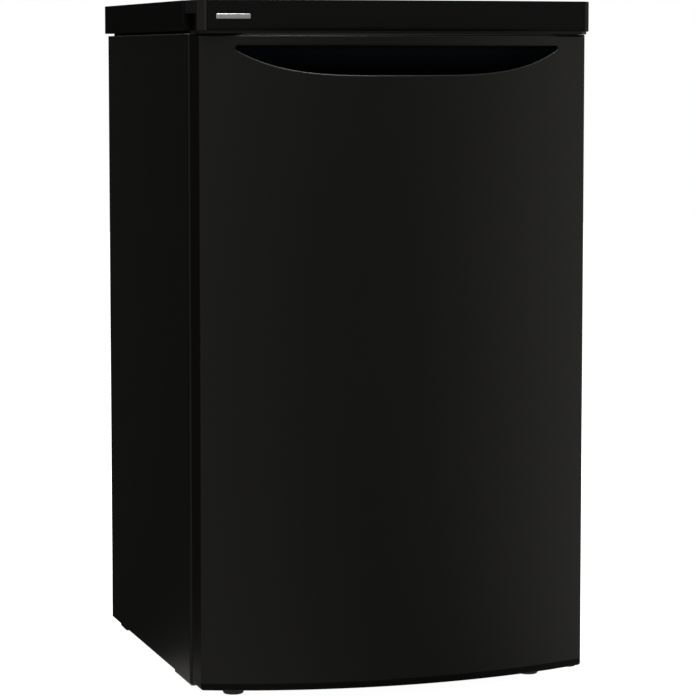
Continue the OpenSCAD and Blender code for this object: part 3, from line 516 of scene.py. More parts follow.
def add_block(shape, low, high, ease=0.0, segments=2):
    """A block between two corners, with its edges rounded."""
    low, high = Vector(low), Vector(high)
    place = Matrix.Translation((low + high) / 2) @ Matrix.Diagonal((*(high - low), 1))
    made = bmesh.ops.create_cube(shape, size=1.0, matrix=place)
    if ease:
        edges = list({edge for vert in made["verts"] for edge in vert.link_edges})
        bmesh.ops.bevel(shape, geom=edges, offset=ease, segments=segments, profile=0.5,
                        affect="EDGES")


def ring_of(x0, x1, z0, z1, y, radius, steps=6):
    """A rounded rectangle facing the front, as a closed ring of points at one depth."""
    ring = []
    for corner_x, corner_z, start in ((x1 - radius, z1 - radius, 0), (x0 + radius, z1 - radius, 90),
                                      (x0 + radius, z0 + radius, 180),
                                      (x1 - radius, z0 + radius, 270)):
        ring += [(x, y, z)
                 for x, z in arc_points((corner_x, corner_z), radius, start, start + 90, steps)]
    return ring


liner_shape = frame_shape("door_liner")
ease_edges(finished("door_inner_skin", liner_shape, white_sheet, "door", ("door_liner",),
                    30.0),
           0.0016, 4)
bead_shape = bmesh.new()
bead_foot_y, bead_crest_y = -0.2122, -0.2104
rack_floors = (0.088, 0.374, 0.602)
bead_spans = [(rack_floors[0] + 0.12, rack_floors[1] - 0.015),
              (rack_floors[1] + 0.068, rack_floors[2] - 0.015)]
for bead_low, bead_high in bead_spans:
    loft(bead_shape,
         [ring_of(inset - 0.165, 0.165 - inset, bead_low + inset, bead_high - inset, y,
                  0.014 - inset)
          for inset, y in ((0.0, bead_foot_y), (0.002, bead_crest_y), (0.005, bead_crest_y),
                                       (0.007, bead_foot_y))], loop=True)
finished("door_skin_beads", bead_shape, white_sheet, "door", (), 60.0)

# ---- Door gasket ----------------------------------------------------------------------------
# A dark flexible seal runs round the door. A soft cushion holds the magnetic strip against the
# cabinet, and folds behind it let the seal stretch; its root is pressed into the door's skin.
gasket_rubber = skin_material("gasket_rubber", (0.013, 0.0095, 0.0085), (0.018, 0.0135, 0.012),
                              (0.5, 0.66), 2200.0, 0.00012, 9.0)
gasket_x, gasket_z0, gasket_z1 = 0.235, 0.035, 0.800
gasket_section = [(0.0, -0.2016), (0.0008, -0.2006), (0.0045, -0.2003), (0.0100, -0.2003),
                  (0.0142, -0.2006), (0.0152, -0.2018), (0.0146, -0.2032), (0.0118, -0.2042),
                  (0.0132, -0.2056), (0.0164, -0.2070), (0.0150, -0.2086), (0.0176, -0.2100),
                  (0.0200, -0.2120), (0.0060, -0.2120), (0.0044, -0.2102), (0.0068, -0.2088),
                  (0.0048, -0.2072), (0.0016, -0.2060), (0.0036, -0.2044), (0.0006, -0.2032)]
gasket_shape = bmesh.new()
loft(gasket_shape,
     [ring_of(inset - gasket_x, gasket_x - inset, gasket_z0 + inset, gasket_z1 - inset, y,
              0.0215 - inset, 5) for inset, y in gasket_section], loop=True)
finished("door_seal", gasket_shape, gasket_rubber, "door", ("door_gasket",), 40.0)

# ---- Hinge bushes ---------------------------------------------------------------------------
# Plain white nylon bushes, pushed into the door's caps, turn on the hinge pins.
nylon = skin_material("nylon", (0.62, 0.62, 0.58), (0.68, 0.68, 0.64), (0.35, 0.48), 1200.0,
                      0.00008, 8.0)
eased_copy("hinge_bushes", 0.0003, nylon, "door")

# ---- Door racks -----------------------------------------------------------------------------
# Clear moulded polystyrene trays hang between the ribs of the door's skin. The lip facing the
# cabinet is lower, has a thick rolled rim, and carries two fine raised lines.


def clear_material(name, tint, gloss, grain, depth, clarity):
    """Clear plastic or glass with a faint tint; handling marks vary its gloss."""
    return skin_material(name, tuple(part * 0.97 for part in tint), tint, gloss, grain, depth, 5.0,
                         Transmission_Weight=clarity, IOR=1.5)


clear_plastic = clear_material("clear_polystyrene", (0.86, 0.92, 0.94), (0.06, 0.14), 300.0,
                               0.00010, 0.88)
rack_half, rack_front, rack_back = 0.1932, -0.209, -0.108
rack_lips = {"bottle_rack": (0.088, 0.080), "middle_rack": (0.374, 0.046),
             "upper_rack": (0.602, 0.046)}
for rack_node, (rack_floor, lip_height) in rack_lips.items():
    eased_copy(rack_node, 0.0008, clear_plastic, "door", 3)
    line_shape = bmesh.new()
    lip_z = rack_floor + lip_height
    add_block(line_shape, (-rack_half + 0.004, rack_back - 0.0002, lip_z - 0.006),
              (rack_half - 0.004, rack_back + 0.0018, lip_z - 0.0005), 0.0009, 3)
    for line_z in (lip_z - 0.013, lip_z - 0.018):
        add_block(line_shape, (-rack_half + 0.012, rack_back - 0.0002, line_z - 0.0009),
                  (rack_half - 0.012, rack_back + 0.0008, line_z + 0.0009), 0.0006, 2)
    for rib in range(7):
        rib_x = (rib - 3) * 0.052
        add_block(line_shape, (rib_x - 0.001, rack_front + 0.006, rack_floor + 0.0024),
                  (rib_x + 0.001, rack_back - 0.005, rack_floor + 0.0036), 0.0005, 2)
    finished(rack_node + "_rim_and_ribs", line_shape, clear_plastic, "door", (),
             40.0)

# ---- Bottle holder --------------------------------------------------------------------------
# A small two-pronged fork slides along the bottle rack's lip and steadies a single bottle.
eased_copy("bottle_holder", 0.0007, clear_plastic, "bottle_holder", 3)

# ---- Worktop --------------------------------------------------------------------------------
# A fibreboard top faced with fine-grained black laminate, framed by moulded rails that screw
# down to the cabinet. The front rail is bowed; a cap with two chamfered faces ends it each side.
laminate = skin_material("black_laminate", (0.0068, 0.0064, 0.0061), (0.0086, 0.0081, 0.0077),
                         (0.5, 0.64), 700.0, 0.00016, 3.0, 0.03, Specular_IOR_Level=0.3)
edging = skin_material("worktop_edging", (0.0030, 0.0029, 0.0028), (0.0037, 0.0036, 0.0034),
                       (0.50, 0.58), 2400.0, 0.00006, 5.0, 0.03, Specular_IOR_Level=0.1)
# Painted light: a lighter and glossier copy of the edging plastic, used only on the left corner cap
# so that its chamfer edges show bright.
left_cap_lit_plastic = skin_material("left_corner_cap_lit_plastic", (0.0042, 0.0031, 0.0025),
                             (0.0052, 0.0040, 0.0033), (0.28, 0.34), 2400.0, 0.00005, 6.0, 0.02)
top_half, top_corner_y, top_low, top_high = 0.2505, -0.266, 0.813, 0.850
top_bow, cap_width, board_low, edge_strip = 0.014, 0.011, 0.834, 0.003
top_radius = (top_half * top_half + top_bow * top_bow) / (2 * top_bow)
top_centre_y = top_corner_y - top_bow + top_radius


def top_front_y(x, inset=0.0):
    """Where the worktop's front edge lies at a distance from the middle."""
    return top_centre_y - math.sqrt((top_radius - inset) ** 2 - x * x)


eased_copy("worktop_board", 0.00025, laminate, "cabinet")
for rail_node in ("worktop_left_rail", "worktop_right_rail", "worktop_rear_rail"):
    eased_copy(rail_node, 0.0008, edging, "cabinet", 3)
# Painted light: the left corner cap gets the lighter, glossier plastic and the right cap keeps the
# plain edging, chosen by which side the face is on.
corner_caps = eased_copy("worktop_corner_caps", 0.0020, left_cap_lit_plastic, "cabinet",
                         4)
corner_caps.data.materials.append(edging)
for face in corner_caps.data.polygons:
    face.material_index = 1 if face.center.x > 0 else 0

rail_shape = bmesh.new()
rail_rear_y = -0.190
rail_section = [(0.0, top_low + 0.0012)] + [(0.0, z) for z in (0.818, 0.840, top_high - 0.0018)]
rail_section += arc_points((0.0012, top_high - 0.0012), 0.0012, 180, 90, 4)
rail_section += [(edge_strip - 0.0004, top_high), (edge_strip, top_high - 0.0004),
                 (edge_strip, board_low)]
rail_rings = []
for step in range(-48, 49):
    x = (top_half - cap_width - 0.0001) * step / 48
    ring = [(x, top_front_y(x) + inset, z) for inset, z in rail_section]
    ring += [(x, rail_rear_y, board_low), (x, rail_rear_y, top_low)]
    ring += [(x, top_front_y(x) + inset, z)
             for inset, z in ((0.0016, top_low), (0.0005, top_low + 0.0003))]
    rail_rings.append(ring)
loft(rail_shape, rail_rings)
add_block(rail_shape, (-0.192, -0.198, 0.810), (0.192, -0.1901, 0.8129), 0.0004)
finished("worktop_front_edge", rail_shape, edging, "cabinet", ("worktop_front_rail",),
         40.0)

# A narrow lip under the front edge, turned back at both ends, hides the gap above the door.
lip_low, lip_gauge, lip_end_y = 0.8097, 0.0010, -0.2125
under_bow, under_side, under_turn_y = 0.2380, 0.2468, -0.2585
under_back, under_high = 0.0006, top_low + 0.0002
under_lip = [(x, top_front_y(x) + under_back)
             for x in (under_bow * step / 40 for step in range(-40, 41))]
under_outer = ([(-under_side, lip_end_y), (-under_side, under_turn_y)] + under_lip
               + [(under_side, under_turn_y), (under_side, lip_end_y)])
under_inner = [(x * (under_side - lip_gauge) / under_side,
                y + (0.0 if abs(y - lip_end_y) < 1e-6 else lip_gauge))
               for x, y in under_outer]
under_shape = bmesh.new()
loft(under_shape, [[(x, y, z) for x, y in line] for line, z in (
    (under_outer, lip_low), (under_outer, under_high), (under_inner, under_high),
    (under_inner, lip_low))], closed=False, loop=True)
under_ends = [vert for vert in under_shape.verts if abs(vert.co.y - lip_end_y) < 1e-6]
for sign in (-1, 1):
    corners = sorted((vert for vert in under_ends if vert.co.x * sign > 0),
                     key=lambda vert: (vert.co.x, vert.co.z))
    under_shape.faces.new((corners[0], corners[1], corners[3], corners[2]))
finished("worktop_under_lip", under_shape, enamel, "cabinet", (), 30.0)

# ---- Badge plate ----------------------------------------------------------------------------
# A small plain plate of brushed, anodised aluminium, curved to the worktop's front edge and
# glued into a shallow seat. It carries no lettering.
badge_left, badge_right, badge_low, badge_high = -0.2285, -0.1875, 0.82706, 0.83306
badge_corner = 0.0012
metal_group, metal_in, metal_out = node_group(
    "brushed_metal", [("Brush", 900.0), ("Gloss Low", 0.25), ("Gloss High", 0.4)],
    ["Tone", "Roughness", "Height"])
brush_lines = add_noise(metal_group, metal_in.outputs["Brush"], 3.0, (0.02, 1, 1))
brush_cloud = add_noise(metal_group, 30.0, 4.0)
for metal_label, metal_value in (
        ("Tone",
         add_math(metal_group, "MULTIPLY", add_math(metal_group, "ADD", brush_lines, brush_cloud),
                  0.5)),
        ("Roughness", add_range(metal_group, brush_lines, metal_in.outputs["Gloss Low"],
                                metal_in.outputs["Gloss High"])),
        ("Height", brush_lines)):
    metal_group.links.new(metal_value, metal_out.inputs[metal_label])


def metal_material(name, dark, light, gloss, brush, depth, metallic=0.9):
    """Bare metal with fine lines along it, or anodised metal with a lower share of metal."""
    grades = {"Brush": brush, "Gloss_Low": gloss[0], "Gloss_High": gloss[1]}
    return marked_material(name, metal_group, grades, (0.35, 0.65), (dark, light), 0.4, depth,
                           Metallic=metallic)


badge_metal = metal_material("brushed_aluminium", (0.42, 0.43, 0.44), (0.56, 0.57, 0.58),
                             (0.30, 0.42), 2500.0, 0.00003, 0.72)
badge_shape = bmesh.new()
badge_rings = []
for badge_inset, badge_proud in ((0.0, -0.0009), (0.0, 0.0001), (0.0003, 0.0004), (0.0008, 0.0005)):
    outline = ring_of(badge_left + badge_inset, badge_right - badge_inset, badge_low + badge_inset,
                      badge_high - badge_inset, 0.0, badge_corner - badge_inset, 4)
    badge_rings.append([(x, top_front_y(x) - badge_proud, z) for x, y, z in outline])
loft(badge_shape, badge_rings)
finished("badge", badge_shape, badge_metal, "cabinet", ("badge_plate",), 40.0)

# ---- Cabinet liner --------------------------------------------------------------------------
# The cabinet's inside is one vacuum-formed shell of glossy white plastic. A step at the bottom
# rear makes room for the compressor, ribs carry the shelves, and the rim folds over the steel.
cavity_half, cavity_rear, cavity_low, cavity_high = 0.215, 0.198, 0.060, 0.770
cavity_front, cavity_round = -0.196, 0.012
step_front, step_top = 0.056, 0.232
shell_shape = bmesh.new()
side_outline = [(cavity_front, cavity_low), (step_front, cavity_low), (step_front, step_top),
                (cavity_rear, step_top), (cavity_rear, cavity_high), (cavity_front, cavity_high)]
shell_sides = [[shell_shape.verts.new((x, y, z)) for y, z in side_outline]
               for x in (-cavity_half, cavity_half)]
for here in range(len(side_outline) - 1):
    shell_shape.faces.new((shell_sides[0][here], shell_sides[0][here + 1],
                           shell_sides[1][here + 1], shell_sides[1][here]))
shell_shape.faces.new(shell_sides[0][::-1])
shell_shape.faces.new(shell_sides[1])
shell_folds = [edge for edge in shell_shape.edges
               if max(vert.co.y for vert in edge.verts) >= cavity_front + 0.001]
bmesh.ops.bevel(shell_shape, geom=shell_folds, offset=cavity_round, segments=6, profile=0.5,
                affect="EDGES")
rim_profile = [(0.0, 0.0)] + [(0.004 - x, y)
                              for x, y in arc_points((0.0, 0.0), 0.004, 0, 90, 5)][1:]
rim_rings = [ring_of(-cavity_half - grow, cavity_half + grow, cavity_low - grow, cavity_high + grow,
                     cavity_front - forward, cavity_round + grow) for grow, forward in rim_profile]
rim_rings += [ring_of(-0.2226, 0.2226, 0.0454, 0.7886, -0.200, 0.013),
              ring_of(-0.223, 0.223, 0.045, 0.789, -0.1996, 0.0134),
              ring_of(-0.223, 0.223, 0.045, 0.789, -0.198, 0.0134)]
loft(shell_shape, rim_rings, caps=False)
bmesh.ops.remove_doubles(shell_shape, verts=shell_shape.verts, dist=2e-5)
bmesh.ops.recalc_face_normals(shell_shape, faces=shell_shape.faces)
lowest_face = min(shell_shape.faces,
                  key=lambda face: face.calc_center_median().z + abs(face.normal.y))
if lowest_face.normal.z < 0:
    bmesh.ops.reverse_faces(shell_shape, faces=shell_shape.faces)
shell = finished("cabinet_inner_shell", shell_shape, white_sheet, "cabinet", ("inner_liner",),
                 40.0, closed=False)
add_gauge(shell, 0.0016)

shelf_pitch, cover_level = 0.066, 0.236
rib_shape = bmesh.new()
for level in range(7):
    rib_top = cover_level + level * shelf_pitch
    for sign in (-1, 1):
        near, far = sorted((sign * 0.209, sign * 0.2162))
        add_block(rib_shape, (near, -0.088, rib_top - 0.004), (far, 0.188, rib_top), 0.0012, 3)
finished("shelf_ribs", rib_shape, white_sheet, "cabinet", (), 40.0)

wall_shape = bmesh.new()
for rear_x in (-0.150, -0.090, -0.030, 0.030, 0.090, 0.150):
    add_block(wall_shape, (rear_x - 0.011, cavity_rear - 0.0010, 0.290),
              (rear_x + 0.011, cavity_rear + 0.0010, 0.690), 0.0009, 3)
finished("rear_wall_beads", wall_shape, white_sheet, "cabinet", (), 40.0)

gutter_shape = bmesh.new()
for gutter_y in (0.170, 0.1935):
    add_block(gutter_shape, (-0.150, gutter_y - 0.0012, step_top - 0.001),
              (0.030, gutter_y + 0.0012, step_top + 0.0032), 0.0010, 3)
finished("melt_water_gutter", gutter_shape, white_sheet, "cabinet", (), 40.0)

# ---- Control housing ------------------------------------------------------------------------
# A white moulded box under the ceiling holds the thermostat, the lamp and the door switch.
# Plain numbers from 1 to 6 round the dial show how cold the cabinet will be.
white_moulding = skin_material("moulded_white", (0.66, 0.67, 0.665), (0.70, 0.71, 0.705),
                               (0.24, 0.34), 1800.0, 0.00008, 5.0)
print_ink = skin_material("dial_ink", (0.05, 0.05, 0.055), (0.07, 0.07, 0.075), (0.5, 0.6), 1500.0,
                          0.00002)
eased_copy("control_housing", 0.0022, white_moulding, "cabinet", 4)
knob_centre = Vector((0.085, -0.192, 0.749))
slot_shape = bmesh.new()
for slot_x in range(8):
    add_block(slot_shape, (0.168 + slot_x * 0.004, -0.1925, 0.738),
              (0.1695 + slot_x * 0.004, -0.1918, 0.760), 0.0003, 2)
finished("housing_slots", slot_shape, print_ink, "cabinet", (), 40.0)
tick_shape = bmesh.new()
for mark in range(7):
    turn = math.radians(225 - mark * 45)
    aside = Vector((math.cos(turn), 0, math.sin(turn)))
    across = Vector((-math.sin(turn), 0, math.cos(turn)))
    start, end = knob_centre + aside * 0.0168, knob_centre + aside * 0.0186
    quad = [start - across * 0.0004, start + across * 0.0004, end + across * 0.0004,
            end - across * 0.0004]
    loft(tick_shape,
         [[point + Vector((0, back, 0)) for point in quad] for back in (0.0002, -0.00005)])
finished("dial_marks", tick_shape, print_ink, "cabinet", (), 40.0)
for number in range(1, 7):
    turn = math.radians(225 - number * 45)
    lettering = bpy.data.curves.new(f"number_{number}_outline", "FONT")
    lettering.body = str(number)
    lettering.size = 0.0038
    lettering.extrude = 0.00012
    lettering.align_x = lettering.align_y = "CENTER"
    outline_holder = bpy.data.objects.new(f"number_{number}_outline", lettering)
    number_mesh = bpy.data.meshes.new_from_object(outline_holder)
    bpy.data.objects.remove(outline_holder)
    spot = knob_centre + Vector((math.cos(turn), 0, math.sin(turn))) * 0.0206
    number_mesh.transform(Matrix.Translation(spot) @ Matrix.Rotation(math.pi / 2, 4, "X"))
    number_mesh.materials.clear()
    number_mesh.materials.append(print_ink)
    number_piece = bpy.data.objects.new(f"dial_number_{number}", number_mesh)
    scene.collection.objects.link(number_piece)
    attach(number_piece, "cabinet")

# ---- Thermostat knob ------------------------------------------------------------------------
# The dial is a moulded white disc with a finger bar across it and a dark pointer line, pressed
# on the thermostat's spindle.


def add_turned(shape, profile, base, axis, sides=48):
    """Turns a profile of (radius, height) round an axis that rises from a base point."""
    turn = Vector(axis).to_track_quat("Z", "Y")
    spokes = [(math.cos(2 * math.pi * side / sides), math.sin(2 * math.pi * side / sides))
              for side in range(sides)]
    loft(shape, [[Vector(base) + turn @ Vector((radius * x, radius * y, height)) for x, y in spokes]
                 for radius, height in profile])


def rounded_end(radius, height, ease, steps=4):
    """Profile points that round a turned piece's top edge."""
    return [(radius - ease + x, height - ease + y)
            for x, y in arc_points((0, 0), ease, 0, 90, steps)]


knob_shape = bmesh.new()
add_turned(knob_shape,
           [(0.0039, -0.008), (0.0039, 0.0003), (0.0150, 0.0003), (0.0160, 0.0012),
            (0.0157, 0.0062)]
           + rounded_end(0.0155, 0.0075, 0.0010), knob_centre, (0, -1, 0), 72)
add_block(knob_shape, (0.085 - 0.0032, -0.2037, 0.749 - 0.0138),
          (0.085 + 0.0032, -0.1985, 0.749 + 0.0138), 0.0014, 4)
finished("thermostat_dial", knob_shape, white_moulding, "thermostat_knob", ("thermostat_knob",),
         35.0)
pointer_shape = bmesh.new()
add_block(pointer_shape, (0.085 - 0.0005, -0.2039, 0.749 + 0.0030),
          (0.085 + 0.0005, -0.2034, 0.749 + 0.0130), 0.0002)
finished("dial_pointer", pointer_shape, print_ink, "thermostat_knob", (), 35.0)

# ---- Door light switch ----------------------------------------------------------------------
# A sprung white plunger with a domed tip, which the closed door holds in.
plunger_shape = bmesh.new()
add_turned(plunger_shape,
           [(0.0040, 0.0), (0.0040, 0.0305)] + rounded_end(0.0040, 0.0335, 0.0030, 6),
           (0.140, -0.178, 0.749), (0, -1, 0), 32)
finished("switch_plunger", plunger_shape, white_moulding, "light_switch", ("light_switch_button",),
         35.0)

# ---- Lamp and its cover ---------------------------------------------------------------------
# A small tubular bulb screws into the housing behind a clear ribbed window.
bulb_glass = clear_material("bulb_glass", (0.98, 0.96, 0.90), (0.03, 0.08), 200.0, 0.00002, 0.9)
bulb_shape = bmesh.new()
bulb_profile = [(0.0014, 0.0), (0.0050, 0.0012), (0.0078, 0.0045), (0.0090, 0.009), (0.0090, 0.044),
                (0.0082, 0.0485), (0.0070, 0.052)]
add_turned(bulb_shape, bulb_profile, (0.061, -0.090, 0.750), (1, 0, 0), 32)
finished("bulb", bulb_shape, bulb_glass, "cabinet", ("lamp_bulb",), 40.0)
bare_brass = metal_material("lamp_cap_metal", (0.55, 0.50, 0.38), (0.72, 0.66, 0.50), (0.25, 0.4),
                            400.0, 0.00005)
thread_shape = bmesh.new()
thread_profile = []
for ridge in range(6):
    thread_profile += [(0.0064, 0.0522 + ridge * 0.003), (0.0070, 0.0532 + ridge * 0.003),
                       (0.0070, 0.0542 + ridge * 0.003)]
add_turned(thread_shape, thread_profile + [(0.0050, 0.0712), (0.0030, 0.0718)],
           (0.061, -0.090, 0.750), (1, 0, 0), 32)
finished("bulb_screw_cap", thread_shape, bare_brass, "cabinet", (), 40.0)
eased_copy("lamp_cover", 0.0003, clear_plastic, "cabinet")

# ---- Evaporator plate -----------------------------------------------------------------------
# A roll-bonded aluminium plate, glued to the rear of the liner inside the foam.
plate_metal = metal_material("mill_aluminium", (0.60, 0.61, 0.63), (0.78, 0.79, 0.80), (0.3, 0.5),
                             300.0, 0.00010)
dress("evaporator_plate", plate_metal)

# ---- Glass shelves and their trims ----------------------------------------------------------
# Panes of 4 mm safety glass with ground edges. White strips are pressed on the front edges, and
# taller ones on the rear edges keep food off the cold wall.
shelf_glass = clear_material("shelf_glass", (0.90, 0.97, 0.945), (0.01, 0.04), 60.0, 0.00001, 1.0)
for pane in ("drawer_cover_shelf", "lower_glass_shelf", "middle_glass_shelf", "upper_glass_shelf"):
    eased_copy(pane, 0.0005, shelf_glass, "cabinet")
trim_shape = bmesh.new()
for pane_z in (0.236, 0.368, 0.500, 0.632):
    add_block(trim_shape, (-0.214, -0.102, pane_z - 0.002), (0.214, -0.0955, pane_z + 0.006),
              0.0022, 4)
    add_block(trim_shape, (-0.214, 0.1875, pane_z - 0.002), (0.214, 0.193, pane_z + 0.010), 0.0016,
              4)
    add_block(trim_shape, (-0.208, -0.1024, pane_z + 0.0010), (0.208, -0.1014, pane_z + 0.0030),
              0.0004, 2)
finished("shelf_edge_strips", trim_shape, white_moulding, "cabinet", ("shelf_trims",),
         40.0)

# ---- Crisper drawer -------------------------------------------------------------------------
# A clear moulded drawer for vegetables, with a finger notch in its front, a rolled rim, a smooth
# band across the front and ribs under its floor.
eased_copy("crisper_drawer", 0.0009, clear_plastic, "crisper_drawer", 4)
drawer_shape = bmesh.new()
drawer_half, drawer_front, drawer_low, drawer_high = 0.206, -0.095, 0.0605, 0.228
for sign in (-1, 1):
    near, far = sorted((sign * 0.062, sign * (drawer_half - 0.001)))
    add_block(drawer_shape, (near, drawer_front - 0.0018, drawer_high - 0.009),
              (far, drawer_front + 0.0006, drawer_high - 0.001), 0.0011, 3)
for reed in range(33):
    reed_x = (reed - 16) * 0.012
    add_block(drawer_shape, (reed_x - 0.0010, drawer_front - 0.0007, drawer_low + 0.020),
              (reed_x + 0.0010, drawer_front + 0.0004, drawer_low + 0.120), 0.0005, 2)
finished("drawer_rim_and_reeds", drawer_shape, clear_plastic, "crisper_drawer", (),
         40.0)

# ---- Zinc-coated sheets ---------------------------------------------------------------------
# Hot-dip galvanised steel closes the roof, the back, the base and the compressor's bay. It is
# spot welded to the sides, and pressed beads keep the large rear panel from drumming.
zinc_group, _, zinc_out = node_group("zinc_spangle", [], ["Tone", "Roughness", "Height"])
zinc_cells = add_node(zinc_group, "TexVoronoi", Scale=95.0, Randomness=1.0,
                      Vector=add_node(zinc_group, "TexCoord").outputs["Object"])
zinc_spread = add_node(zinc_group, "SeparateColor", Color=zinc_cells.outputs["Color"])
for zinc_label, zinc_value in (
        ("Tone", zinc_spread.outputs["Red"]), ("Height", add_noise(zinc_group, 700.0, 3.0)),
        ("Roughness", add_range(zinc_group, zinc_spread.outputs["Green"], 0.34, 0.52, 0.0, 1.0))):
    zinc_group.links.new(zinc_value, zinc_out.inputs[zinc_label])
zinc = marked_material("galvanised_steel", zinc_group, {}, (0.1, 0.9),
                       ((0.36, 0.37, 0.385), (0.56, 0.57, 0.58)), 0.3, 0.0001, Metallic=0.92)
for zinc_node in ("roof_panel", "base_plate", "compressor_bay_hood", "compressor_platform"):
    eased_copy(zinc_node, 0.0003, zinc, "cabinet")

back_shape = frame_shape("back_panel")
for bead_z in (0.245 + row * 0.13125 for row in range(1, 4)):
    bead_rings = [ring_of(inset - 0.205, 0.205 - inset, bead_z - 0.011 + inset,
                          bead_z + 0.011 - inset, y, 0.0109 - inset)
                  for inset, y in ((0.0, 0.2379), (0.0022, 0.2392), (0.0045, 0.2398),
                                   (0.0068, 0.2400))]
    loft(back_shape, bead_rings)
finished("rear_panel", back_shape, zinc, "cabinet", ("back_panel",), 40.0)

# ---- Rear panel rivets ----------------------------------------------------------------------
# Domed zinc rivets hold the rear panel to the return flanges of the side panels.
screw_zinc = metal_material("bright_zinc", (0.50, 0.51, 0.53), (0.66, 0.67, 0.69), (0.28, 0.42),
                            1200.0, 0.00003)
rivet_shape = bmesh.new()
for rivet_z in (0.215, 0.320, 0.425, 0.530, 0.635, 0.740, 0.795):
    for sign in (-1, 1):
        add_turned(rivet_shape,
                   [(0.0038, -0.0003), (0.0038, 0.0003), (0.0031, 0.0011), (0.0018, 0.0016),
                    (0.0006, 0.0017)], (sign * 0.240, 0.238, rivet_z), (0, 1, 0), 20)
finished("rear_rivets", rivet_shape, screw_zinc, "cabinet", (), 35.0)

# ---- Condenser ------------------------------------------------------------------------------
# A steel tube runs to and fro behind the cabinet, with upright wires welded across both of its
# faces. The whole grid is dipped in black paint, which gathers on every joint.
condenser_paint = skin_material("condenser_paint", (0.006, 0.006, 0.006), (0.010, 0.010, 0.0095),
                                (0.34, 0.5), 900.0, 0.00015, 12.0, 0.10)


def round_path(points, bend, steps=6):
    """A path through the points, with its corners turned into arcs of one bend radius."""
    path = [Vector(points[0])]
    for before, corner, after in zip(points, points[1:], points[2:]):
        corner = Vector(corner)
        back = (Vector(before) - corner).normalized()
        ahead = (Vector(after) - corner).normalized()
        half_turn = back.angle(ahead) / 2
        centre = corner + (back + ahead).normalized() * bend / math.sin(half_turn)
        first = (corner + back * bend / math.tan(half_turn) - centre).normalized()
        second = (corner + ahead * bend / math.tan(half_turn) - centre).normalized()
        path += [centre + first.slerp(second, step / steps) * bend for step in range(steps + 1)]
    return path + [Vector(points[-1])]


def add_tube(shape, path, radius, sides=14):
    """Sweeps a round section along a path."""
    path = [Vector(point) for point in path]
    across = Vector((0.31, 0.43, 0.85))
    rings = []
    for here, point in enumerate(path):
        ahead = path[min(here + 1, len(path) - 1)] - point
        behind = point - path[max(here - 1, 0)]
        along = (ahead.normalized() + behind.normalized()).normalized()
        across = (across - along * across.dot(along)).normalized()
        up = along.cross(across)
        rings.append([point + (across * math.cos(2 * math.pi * side / sides)
                               + up * math.sin(2 * math.pi * side / sides)) * radius
                      for side in range(sides)])
    loft(shape, rings)


coil_y, coil_half, coil_low, coil_high = 0.264, 0.187, 0.245, 0.770
coil_runs, coil_tube = 10, 0.0024
coil_pitch = (coil_high - coil_low) / (coil_runs - 1)
coil_bend = coil_pitch / 2
coil_path = [Vector((-coil_half, coil_y, coil_low))]
for run in range(coil_runs - 1):
    sign = 1 if run % 2 == 0 else -1
    turn_z = coil_low + (run + 0.5) * coil_pitch
    coil_path += [Vector((sign * (coil_half + coil_bend * math.cos(turn)), coil_y,
                          turn_z + coil_bend * math.sin(turn)))
                  for turn in (math.radians(-90 + 15 * step) for step in range(13))]
coil_path.append(Vector((-coil_half, coil_y, coil_high)))
coil_shape = bmesh.new()
add_tube(coil_shape, coil_path, coil_tube, 16)
wire_count, wire_radius = 28, 0.0008
for wire in range(wire_count):
    wire_x = -coil_half + 0.010 + wire * (2 * coil_half - 0.020) / (wire_count - 1)
    for face in (-1, 1):
        wire_y = coil_y + face * (coil_tube + wire_radius * 0.7)
        add_tube(coil_shape,
                 [(wire_x, wire_y, coil_low - 0.012), (wire_x, wire_y, coil_high + 0.012)],
                 wire_radius, 8)
finished("condenser_grid", coil_shape, condenser_paint, "cabinet", ("condenser",),
         50.0)

# ---- Condenser brackets, wall spacers and rear skids ----------------------------------------
# Black mouldings: four clips hold the condenser off the panel, two loops keep the wall away,
# and two ribbed skids carry the rear corners.
black_moulding = skin_material("black_polypropylene", (0.0085, 0.0085, 0.0085),
                               (0.012, 0.012, 0.012), (0.42, 0.58), 1600.0, 0.00016, 6.0, 0.10)
for moulded_node, moulded_ease in (("condenser_brackets", 0.0010), ("wall_spacers", 0.0010),
                                   ("rear_feet", 0.0012)):
    eased_copy(moulded_node, moulded_ease, black_moulding, "cabinet", 3)
clip_shape = bmesh.new()
for sign in (-1, 1):
    for clip_z in (coil_low + coil_pitch / 2, coil_high - coil_pitch / 2):
        add_turned(clip_shape,
                   [(0.0030, 0.0), (0.0030, 0.0008), (0.0022, 0.0014), (0.0008, 0.0016)],
                   (sign * 0.174, 0.2616, clip_z), (0, 1, 0), 18)
finished("condenser_bracket_screws", clip_shape, screw_zinc, "cabinet", (), 35.0)

# ---- Compressor -----------------------------------------------------------------------------
# Two deep-drawn steel shells, welded together at a flange and painted gloss black, with motor
# and pump sealed inside. A pressed plate carries it, and short copper stubs take the pipes.
shell_paint = skin_material("compressor_paint", (0.007, 0.007, 0.0072), (0.011, 0.011, 0.011),
                            (0.16, 0.30), 500.0, 0.00020, 14.0, 0.25)
pump_x, pump_y, pump_base, pump_radius = -0.060, 0.166, 0.033, 0.068
pump_shape = bmesh.new()
pump_wall = pump_radius - 0.002
pump_profile = [(0.030, 0.0), (0.050, 0.0006), (0.059, 0.004), (0.0640, 0.011), (pump_wall, 0.020),
                (pump_wall, 0.0775), (0.0672, 0.0788), (pump_radius, 0.0798), (pump_radius, 0.0842),
                (0.0672, 0.0852), (pump_wall, 0.0865), (pump_wall, 0.110)]
pump_profile += [(pump_wall * math.cos(turn), 0.110 + 0.0365 * math.sin(turn))
                 for turn in (math.radians(8 * step) for step in range(1, 11))]
add_turned(pump_shape, pump_profile, (pump_x, pump_y, pump_base), (0, 0, 1), 72)
finished("compressor_shell", pump_shape, shell_paint, "cabinet", (), 45.0)
plate_shape = frame_shape("compressor")
bmesh.ops.delete(plate_shape, geom=[vert for vert in plate_shape.verts if vert.co.z > 0.0332],
                 context="VERTS")
bmesh.ops.holes_fill(plate_shape, edges=plate_shape.edges, sides=0)
